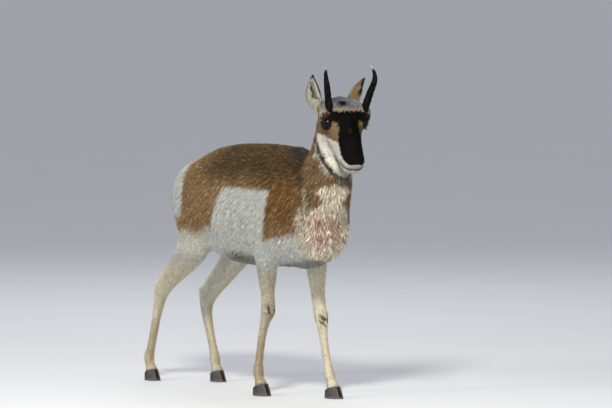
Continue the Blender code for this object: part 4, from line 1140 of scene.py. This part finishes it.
# %% Cut the coat into pieces under the size limit
MOST_TRIANGLES = 190000
coat_pieces = []


def coat(name, slot, kind, tufts, draw):
    """Makes the tufts in pieces that each stay under the size limit."""
    pieces = math.ceil(len(tufts[0]) * kind / MOST_TRIANGLES)
    order = np.argsort(tufts[-1], kind="stable")
    for number, chosen in enumerate(np.array_split(order, pieces)):
        piece = tuft_mesh(f"{name}_{number + 1}", kind, *[array[chosen] for array in tufts], draw)
        coat_pieces.append((piece, slot))
    print(name, "is", pieces, "pieces")


draw = np.random.default_rng(2024)
fill = deep_coat(FILL_PER_SQUARE_METRE, long=0.78, wide=0.056, high=0.88, draw=draw)
coat("coat_fill", "fur_body", 4, fill, draw)
thatch = deep_coat(THATCH_PER_SQUARE_METRE, long=1.0, wide=0.052, high=1.0, draw=draw)
coat("coat_thatch", "fur_body", 10, thatch, draw)

# %% [markdown]
# ## The close hair of face and legs
#
# Here single tufts are only millimetres long. They hide the skin, soften the edge of every
# marking and show at the outline, and the bare skin of nose, lips and lids stays free of them.

# %% Length and number of the close hair
FACE_PER_SQUARE_METRE = 465000
LEG_PER_SQUARE_METRE = 208000
LEG_HAIR, FACE_HAIR = 0.0085, 0.0060


def bare(head):
    """1 on skin without hair: the nose pad, the nostrils, the mouth's gap, and inside the lids."""
    along, _, up = head.T
    pad = ramp(along, 0.168, 0.173) * ramp(up, -0.022, -0.019) * ramp(0.004 - up, 0, 0.004)
    gap = (np.abs(up - MOUTH_HEIGHT) < 0.0018) & (along > 0.11)
    lids = eye_distance(head) < 0.0258
    return np.maximum(pad, (gap | lids).astype(float))


def close_number(spots):
    """How many short tufts stand on a square metre."""
    animal = to_animal(spots)
    head = to_head(animal)
    face = on_head(animal, head)
    number = LEG_PER_SQUARE_METRE + (FACE_PER_SQUARE_METRE - LEG_PER_SQUARE_METRE) * face
    return number * is_fine(spots) * (1 - face * bare(head))


def close_length(animal, head):
    """The length of the short tufts."""
    along, _, up = head.T
    leg = LEG_HAIR + 0.006 * ramp(animal[:, 2], 0.34, 0.44)
    face = FACE_HAIR + 0.0110 * ramp(-0.010 - along, 0, 0.016) * ramp(up, 0.010, 0.030)
    face = face + 0.0040 * ramp(-0.03 - up, 0, 0.03) * ramp(0.10 - along, 0, 0.05)
    face = face - 0.0022 * ramp(along, 0.08, 0.14)
    face = face * (0.45 + 0.55 * ramp(eye_distance(head), 0.028, 0.045))
    share = on_head(animal, head)
    return leg * (1 - share) + face * share


roots, facing = scatter(skin.data, close_number, draw)
animal = to_animal(roots)
head = to_head(animal)
length = close_length(animal, head) * draw.uniform(0.7, 1.3, len(roots))
lie = laid_flat(hair_lie(roots), facing)
swing = 0.20 * ripple(roots, 0.030, 51) + draw.normal(0, 0.14, len(roots))
lie = lie + np.cross(facing, lie) * swing[:, None]
lift = coat_depth(animal, head) * draw.uniform(0.55, 1.15, len(roots)) + 0.0004
width = 0.0009 + 0.12 * length
grain = np.exp(draw.normal(0, 0.15, len(roots)) + 0.10 * ripple(roots, 0.008, 52))
colour = tuft_colour(roots, facing, lie, length, lift) * grain[:, None]
print("face and legs have", len(roots), "tufts")
charts = chart_numbers(roots)
coat("coat_close", "fur_legs", 4, [roots, facing, lie, length, width, lift, colour, charts], draw)

# %% [markdown]
# ## The ears
#
# An ear is a thin pointed cup. The solid's own shape is right, so a copy of it is smoothed and
# thinned a little, and hair goes on both faces: short and brown behind, long and pale inside,
# with a black rim and tip.

# %% Ear shells and their hair
EAR_PER_SQUARE_METRE = 430000
EAR_TIPS = {"right": (-0.072, -0.090, 0.161), "left": (-0.084, 0.096, 0.150)}
EAR_ROOTS = {"right": (-0.050, -0.074, 0.046), "left": (-0.058, 0.046, 0.050)}
EAR_FACING = {"right": (0.72, -0.66, 0.05), "left": (-0.42, 0.90, 0.05)}
# Which edge of each ear is black: the one towards the nose, or the one away from it
EAR_BLACK_EDGE = {"right": 1.0, "left": -1.0}
level_axes = np.array((level_nose, HEAD_AXES[1], rise))


def from_level(point, free=False):
    """A place in the level head's axes as a model point."""
    turned = np.asarray(point) @ level_axes
    return to_model(turned, True) if free else to_model(turned + HEAD_CENTRE)


# An ear's two edges are measured at these shares of its length, each from its nearest points
EAR_SHARES = np.linspace(0, 1, 9)
NEAR_POINTS = 60
EAR_INSET = 0.0004
# The ear shells are painted darker than their hair by this much, as shade under it
EAR_SHELL_SHADE = 0.7


def ear_axes(side):
    """An ear's root, the direction from it to the tip, its length, and which way it opens."""
    root, tip = from_level(EAR_ROOTS[side]), from_level(EAR_TIPS[side])
    axis = unit(tip - root)
    opening = from_level(EAR_FACING[side], True)
    return root, axis, np.linalg.norm(tip - root), unit(opening - axis * (opening @ axis))


def ear_places(points, side):
    """How far up an ear points lie, and where between its two edges, from -1 to 1."""
    root, axis, tall, opening = ear_axes(side)
    across = np.cross(axis, opening)

    def measure(spots):
        return (spots - root) @ axis / tall, (spots - root) @ across

    whole_share, whole_offset = measure(points_of(frame["nodes"][f"ear_{side}"].data))
    nearest = [np.argsort(np.abs(whole_share - share))[:NEAR_POINTS] for share in EAR_SHARES]
    low, high = ([pick(whole_offset[chosen]) for chosen in nearest] for pick in (np.min, np.max))
    share, offset = measure(points)
    low, high = (np.interp(share, EAR_SHARES, edge) for edge in (low, high))
    return share, 2 * (offset - low) / (high - low).clip(0.004) - 1


def ear_inside(facing, side):
    """1 on the inner face of an ear, 0 on its back."""
    return ramp(facing @ ear_axes(side)[3], 0.05, 0.25)


def ear_colour(points, facing, side):
    """Pale and streaked inside, brown behind, black along one edge and at the tip."""
    share, edge = ear_places(points, side)
    inside = ear_inside(facing, side)
    black_edge = EAR_BLACK_EDGE[side] * edge
    colour = np.tile(np.array(EAR_BACK), (len(points), 1))
    fluff = ramp(0.80 - share, 0, 0.35) * ramp(-black_edge, -0.2, 0.4)
    colour = paint(colour, EAR_HAIR, np.maximum(inside, np.maximum(fluff, ramp(0.16 - share, 0, 0.10))))
    streak = ramp(np.sin(edge * 16 + 1.3 * ripple(points, 0.03, 61)), -0.8, 0.2) * ramp(share, 0.12, 0.30)
    middle = ramp(0.48 - np.abs(black_edge + 0.16), 0, 0.30)
    middle = middle * inside * ramp(0.92 - share, 0, 0.2) * ramp(share, 0.12, 0.30)
    colour = paint(colour, MANE_AND_SHADE, 0.40 * middle)
    colour = paint(colour, BLACK, 0.85 * streak * middle)
    rim = ramp(black_edge + 0.3 * ramp(share, 0.6, 0.9), 0.72, 0.96) * ramp(share, 0.30, 0.46)
    colour = paint(colour, BLACK, 0.92 * rim)
    return paint(colour, BLACK, ramp(share, 0.86, 0.94))


ears = {}
for side in SIDES:
    ear = merged_copy(f"ear_shell_{side}", [f"ear_{side}"])
    rounded(ear)
    ear.data.shade_smooth()
    move_points(ear.data, points_of(ear.data) - normals_of(ear.data) * EAR_INSET)
    ear_points, ear_normals = points_of(ear.data), normals_of(ear.data)
    store_colour(ear.data, ear_colour(ear_points, ear_normals, side) * EAR_SHELL_SHADE)
    roots, facing = scatter(ear.data, lambda spots: np.full(len(spots), EAR_PER_SQUARE_METRE), draw)
    inside = ear_inside(facing, side)
    length = (0.0050 + 0.0045 * inside) * draw.uniform(0.6, 1.3, len(roots))
    lie = np.tile(ear_axes(side)[1], (len(roots), 1)) + draw.normal(0, 0.22, (len(roots), 3))
    lift = 0.0006 + 0.0016 * inside * draw.uniform(0.4, 1.3, len(roots))
    width = 0.0008 + 0.10 * length
    colour = ear_colour(roots, facing, side) * np.exp(draw.normal(0, 0.16, len(roots)))[:, None]
    charts = np.full(len(roots), CHART_NAMES.index(f"ear_{side}"))
    coat(f"coat_ear_{side}", "fur_body", 4, [roots, facing, lie, length, width, lift, colour, charts], draw)
    ears[side] = ear

# %% [markdown]
# ## The materials of skin and hair
#
# Hair takes its colour from the markings stored on each tuft, with a fine grain over it, and it
# is almost without gloss, as dry winter hair is. The skin has the same colours, darker with painted
# shade, and a bump that reads as close hair wherever tufts leave a gap.

# %% Hair and skin
def hair_material():
    """Dry hair that takes its colour from the markings."""
    graph = Graph("winter_hair")
    grain = graph.noise(420.0, 2.0)
    streaks = graph.ramp(grain, ((0.30, 0.84), (0.70, 1.0)))
    graph.feed("Base Color", graph.mix(1.0, graph.stored(), streaks, "MULTIPLY"))
    graph.feed("Roughness", 0.66 + grain * 0.22)
    graph.feed("Specular IOR Level", 0.05)
    return graph.material


def skin_material():
    """The skin between the tufts, in the same markings, with a bump like close hair."""
    graph = Graph("skin_under_hair")
    grain = graph.noise(650.0, 4.0)
    shade = graph.ramp(grain, ((0.3, 0.6), (0.7, 1.0)))
    graph.feed("Base Color", graph.mix(1.0, graph.stored(), shade, "MULTIPLY"))
    graph.feed("Roughness", 0.55 + grain * 0.30)
    graph.feed("Specular IOR Level", 0.07)
    graph.bump(grain, 0.5, 0.0010)
    return graph.material


hair = hair_material()
hide = skin_material()
for piece in (skin, *ears.values()):
    dress(piece, hide)
for piece, _ in coat_pieces:
    dress(piece, hair)

# %% [markdown]
# ## The eyes
#
# A pronghorn's eye is large and almost black, with a wide, level pupil that hardly shows. What
# makes it live is its wet surface: a clear, bulging cornea over a dark brown iris. So each eye
# is a finer ball with a bulge towards its gaze and a very smooth finish that mirrors the lamps.

# %% Eyeballs
GAZE = (0.62, 1.0, 0.04)
CORNEA_BULGE = 0.0016
EYE_GAP = 0.0002
EYE_DARK, IRIS, PUPIL = (0.008, 0.006, 0.005), (0.007, 0.004, 0.002), (0.002, 0.002, 0.003)


def eye_axes(sign):
    """An eye's centre on the head, its gaze, and the level and the upright line across it."""
    centre = np.array((EYE_PLACE[0], EYE_PLACE[1] * sign, EYE_PLACE[2]))
    gaze = unit(np.array((GAZE[0], GAZE[1] * sign, GAZE[2])))
    level = unit(np.array((1.0, 0.0, 0.0)) - gaze * gaze[0])
    return centre, gaze, level, np.cross(gaze, level) * sign


def eyeball(side, sign):
    """One eye with a bulging cornea. The bulge and the iris lie round the gaze."""
    centre, gaze, level, high = eye_axes(sign)
    form = bmesh.new()
    bmesh.ops.create_icosphere(form, subdivisions=5, radius=1.0)
    mesh = bpy.data.meshes.new(f"eyeball_{side}")
    form.to_mesh(mesh)
    form.free()
    aims = unit(points_of(mesh))
    toward = aims @ gaze
    reach = EYE_RADIUS - EYE_GAP + CORNEA_BULGE * ramp(toward, 0.62, 0.95)
    move_points(mesh, from_head(centre + aims * reach[:, None]))
    mesh.shade_smooth()
    iris = ramp(toward, 0.70, 0.76)
    pupil = 1 - ramp(((aims @ level) / 0.42) ** 2 + ((aims @ high) / 0.20) ** 2, 0.75, 1.1)
    colour = np.tile(np.array(EYE_DARK), (len(aims), 1))
    colour = paint(colour, IRIS, iris)
    colour = paint(colour, PUPIL, pupil * iris)
    store_colour(mesh, colour)
    return new_object(f"eyeball_{side}", mesh)


def eye_material():
    """Wet and dark: the stored iris and pupil, with hardly any roughness."""
    graph = Graph("wet_eye")
    graph.feed("Base Color", graph.stored())
    graph.feed("Roughness", 0.03)
    graph.feed("Specular IOR Level", 0.09)
    return graph.material


eyes = {side: eyeball(side, sign) for side, sign in SIDES.items()}
eye_finish = eye_material()
for eye in eyes.values():
    dress(eye, eye_finish)
print("each eye is", EYE_RADIUS * 2000, "mm across")

# %% [markdown]
# ## Lashes and whiskers
#
# Both are stiff hairs that stand in rows or rough patches. Geometry Nodes suit them: a mesh of
# loose points says where each hair stands and where it aims, and the tree sets a thin cone on
# each, sized by named inputs and turned a little by a seeded random value. The result is made
# a plain mesh at the end.

# %% A tree that sets a hair on each point
HAIR_TIP = 0.00002


def hair_row_tree(material):
    """Geometry Nodes that put one thin cone on each point of a mesh."""
    tree = bpy.data.node_groups.new("hair_row", "GeometryNodeTree")
    face = tree.interface
    face.new_socket("Geometry", in_out="INPUT", socket_type="NodeSocketGeometry")
    for name, value in (("Length", 0.012), ("Thickness", 0.0004), ("Spread", 0.3)):
        face.new_socket(name, in_out="INPUT", socket_type="NodeSocketFloat").default_value = value
    face.new_socket("Seed", in_out="INPUT", socket_type="NodeSocketInt").default_value = 1
    face.new_socket("Geometry", in_out="OUTPUT", socket_type="NodeSocketGeometry")
    graph = Graph.wrap(tree)
    given = tree.nodes.new("NodeGroupInput").outputs
    points, length, thickness, spread, seed = (Wire(tree, socket) for socket in given[:5])
    form = {"Vertices": 5, "Side Segments": 3, "Radius Top": HAIR_TIP}
    form |= {"Radius Bottom": thickness, "Depth": length}
    cone = graph.node("GeometryNodeMeshCone", {}, form, "Mesh")
    kind = {"data_type": "FLOAT_VECTOR"}
    aim = graph.node("GeometryNodeInputNamedAttribute", kind, {"Name": "aim"}, "Attribute")
    turn = graph.node("FunctionNodeAlignRotationToVector", {}, {"Vector": aim}, "Rotation")
    limits = {"Min": spread * -1.0, "Max": spread, "Seed": seed}
    wobble = graph.node("FunctionNodeRandomValue", kind, limits, "Value")
    twist = graph.node("FunctionNodeEulerToRotation", {}, {"Euler": wobble}, "Rotation")
    turn = graph.node("FunctionNodeRotateRotation", {}, {"Rotation": turn, "Rotate By": twist}, "Rotation")
    size = graph.node("FunctionNodeRandomValue", {"data_type": "FLOAT"}, {2: 0.7, 3: 1.15, "Seed": seed}, 1)
    inputs = {"Points": points, "Instance": cone, "Rotation": turn, "Scale": size}
    hairs = graph.node("GeometryNodeInstanceOnPoints", {}, inputs, "Instances")
    real = graph.node("GeometryNodeRealizeInstances", {}, {"Geometry": hairs}, "Geometry")
    done = graph.node("GeometryNodeSetMaterial", {}, {"Geometry": real, "Material": material}, "Geometry")
    tree.links.new(done.socket, tree.nodes.new("NodeGroupOutput").inputs["Geometry"])
    return tree


def lash_material():
    """Black, slightly glossy hair."""
    graph = Graph("lash_black")
    tints = (0.006, 0.005, 0.005), (0.020, 0.016, 0.013)
    graph.feed("Base Color", graph.mix(graph.noise(300.0), *tints))
    graph.feed("Roughness", 0.45)
    return graph.material


row_tree = hair_row_tree(lash_material())


def hair_row(name, spots, aims, sizes, seed):
    """A row of hairs at spots that point along aims, made a plain mesh."""
    mesh = bpy.data.meshes.new(name)
    mesh.from_pydata([tuple(spot) for spot in spots], [], [])
    layer = mesh.attributes.new("aim", "FLOAT_VECTOR", "POINT")
    layer.data.foreach_set("vector", np.asarray(aims, np.float32).ravel())
    row = new_object(name, mesh)
    nodes = row.modifiers.new("Hairs", "NODES")
    nodes.node_group = row_tree
    values = {"Length": sizes[0], "Thickness": sizes[1], "Spread": sizes[2], "Seed": seed}
    for item in row_tree.interface.items_tree:
        if item.in_out == "INPUT" and item.name in values:
            nodes[item.identifier] = values[item.name]
    apply_modifiers(row)
    aim = row.data.attributes.get("aim")
    if aim is not None:
        row.data.attributes.remove(aim)
    return row


# %% Lashes on the upper lids, whiskers on the lips
LASHES = 34
LASH_SIZES = (0.0095, 0.00042, 0.16)
WHISKERS = 26
WHISKER_SIZES = (0.013, 0.00018, 0.25)
# The lids' opening, half as wide and as high as it looks from the eye's centre
EYE_REACH = (math.radians(53), math.radians(40))
LID_THICKNESS = 0.0030


def lash_row(side, sign):
    """The lashes of one upper lid, which point out and a little down."""
    centre, gaze, level, high = eye_axes(sign)
    spots, aims = [], []
    for i in range(LASHES):
        turn = math.pi * (0.10 + 0.80 * i / (LASHES - 1))
        wide = EYE_REACH[0] * math.cos(turn)
        tall = EYE_REACH[1] * math.sin(turn) * (1 - 0.22 * math.cos(turn) ** 2)
        aim = unit(gaze + level * math.tan(wide) * 0.92 + high * math.tan(tall))
        spots.append(from_head(centre + aim * (EYE_RADIUS + LID_THICKNESS)))
        aims.append(from_head(unit(aim + gaze * 0.9 - high * 0.15), True))
    return hair_row(f"lashes_{side}", spots, aims, LASH_SIZES, 5)


lashes = {side: lash_row(side, sign) for side, sign in SIDES.items()}
skin_tree = BVHTree.FromObject(skin, bpy.context.evaluated_depsgraph_get())
spots, aims = [], []
whisker_draw = np.random.default_rng(77)
for i in range(WHISKERS):
    sign = -1 if i % 2 else 1
    guess = (whisker_draw.uniform(0.135, 0.172), sign * 0.05, whisker_draw.uniform(-0.068, -0.028))
    spot, normal, _, _ = skin_tree.find_nearest(Vector(from_head(guess)))
    spots.append(np.array(spot) - np.array(normal) * 0.001)
    aims.append(unit(np.array(normal) + from_head((0.25, 0.0, -0.5), True)))
whiskers = hair_row("whiskers", spots, aims, WHISKER_SIZES, 9)
hair_rows = (*lashes.values(), whiskers)
print("lashes and whiskers have", sum(len(row.data.polygons) for row in hair_rows), "faces")

# %% [markdown]
# ## Horns
#
# The sheath of a pronghorn's horn is made of fused hair: black, rough and finely fluted, worn
# to a pale, polished tip. The solid gives its shape, which is rounded here and fluted with a
# small displacement that fades out towards the tip. The tip's paler colour is stored on it.

# %% Horn sheaths
FLUTE_DEPTH = 0.0007
HORN_BLACK, HORN_BROWN, HORN_PALE = (0.0040, 0.0036, 0.0036), (0.016, 0.012, 0.010), (0.30, 0.29, 0.27)


def horn_sheath(side):
    """A smoother copy of one horn, fluted along its length."""
    horn = merged_copy(f"horn_sheath_{side}", [f"horn_{side}"])
    rounded(horn)
    points = points_of(horn.data)
    low, high = points[:, 2].min(), points[:, 2].max()
    share = (points[:, 2] - low) / (high - low)
    stretched = points * np.array((1.0, 1.0, 0.12))
    flutes = ripple(stretched, 0.006, 71) + 0.5 * ripple(stretched, 0.0032, 72)
    rough = ripple(points, 0.010, 73)
    push = (flutes + 0.5 * rough) * FLUTE_DEPTH * (1 - share) ** 0.5
    move_points(horn.data, points + normals_of(horn.data) * push[:, None])
    tone = ripple(stretched, 0.010, 74)
    colour = np.tile(np.array(HORN_BLACK), (len(points), 1))
    colour = paint(colour, HORN_BROWN, 0.5 * ramp(tone, 0.2, 0.9))
    colour = paint(colour, HORN_PALE, ramp(share, 0.87, 0.94))
    store_colour(horn.data, colour)
    horn.data.shade_smooth()
    return horn


def horn_material():
    """Rough horn in its stored colours, with fine fibres along its length."""
    graph = Graph("horn_sheath")
    fibre = graph.noise(260.0, 4.0, (1.0, 1.0, 0.14))
    shade = graph.ramp(fibre, ((0.35, 0.6), (0.65, 1.0)))
    graph.feed("Base Color", graph.mix(1.0, graph.stored(), shade, "MULTIPLY"))
    graph.feed("Roughness", 0.42 + fibre * 0.25)
    graph.feed("Specular IOR Level", 0.03)
    graph.bump(fibre, 0.5, 0.0012)
    return graph.material


horns = {side: horn_sheath(side) for side in SIDES}
horn_finish = horn_material()
for horn in horns.values():
    dress(horn, horn_finish)

# %% [markdown]
# ## Hooves
#
# Each foot has two long, pointed claws of black horn. The solids already have their shape and
# their flat soles, so they stay and only get a finish: fine rings round the claw and dusty wear
# near the ground.

# %% Hooves
def hoof_material():
    """Dark horn, ringed, dusty and worn towards the sole."""
    graph = Graph("hoof_horn")
    rings = graph.noise(60.0, 3.0, (0.25, 0.25, 3.0))
    grit = graph.noise(500.0, 3.0)
    spot = graph.node("ShaderNodeTexCoord", output="Object")
    height = graph.node("ShaderNodeSeparateXYZ", {}, {0: spot}, "Z")
    worn = 1.0 - height * 55.0
    dark = graph.mix(rings, (0.014, 0.012, 0.011), (0.042, 0.034, 0.028))
    dusty = graph.ramp(worn * (0.4 + grit), ((0.35, 0.0), (0.95, 0.8)))
    graph.feed("Base Color", graph.mix(dusty, dark, (0.12, 0.10, 0.08)))
    graph.feed("Roughness", 0.38 + grit * 0.35)
    graph.bump(rings + grit * 0.4, 0.45, 0.0010)
    return graph.material


hoof_finish = hoof_material()
for name, node in frame["nodes"].items():
    if name.startswith("hoof_"):
        dress(node, hoof_finish)

# %% [markdown]
# ## The floor
#
# The animal stands on a plain pale floor, which isn't part of it.

# %% Floor
FLOOR_REACH = 3000.0

form = bmesh.new()
bmesh.ops.create_grid(form, x_segments=1, y_segments=1, size=FLOOR_REACH)
floor_mesh = bpy.data.meshes.new("floor")
form.to_mesh(floor_mesh)
form.free()
floor = new_object("floor", floor_mesh)
floor_graph = Graph("pale_floor")
pale = (0.60, 0.605, 0.615), (0.64, 0.645, 0.655)
floor_graph.feed("Base Color", floor_graph.mix(floor_graph.noise(1.5), *pale))
floor_graph.feed("Roughness", 0.9)
dress(floor, floor_graph.material)

# %% [markdown]
# ## Hand the pieces to the frame
#
# Every piece rides on the one body, and the solids that the pieces replace are hidden.

# %% Ride, and hide the replaced solids
for piece, slot in coat_pieces:
    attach(piece, "root")
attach(skin, "root")
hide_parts(*FLESH)
for side in SIDES:
    finishes = ((ears, "fur_body"), (eyes, "eye"), (horns, "horn"), (lashes, "fur_body"))
    for piece, slot in ((pair[side], slot) for pair, slot in finishes):
        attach(piece, "root")
    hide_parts(f"ear_{side}")
    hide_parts(f"eye_{side}")
    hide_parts(f"horn_{side}")
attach(whiskers, "root")

# %% Sizes, and finish
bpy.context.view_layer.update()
total = sum(len(obj.data.polygons) for obj in bpy.data.objects if obj.type == "MESH")
print("the model has", total, "faces in all")
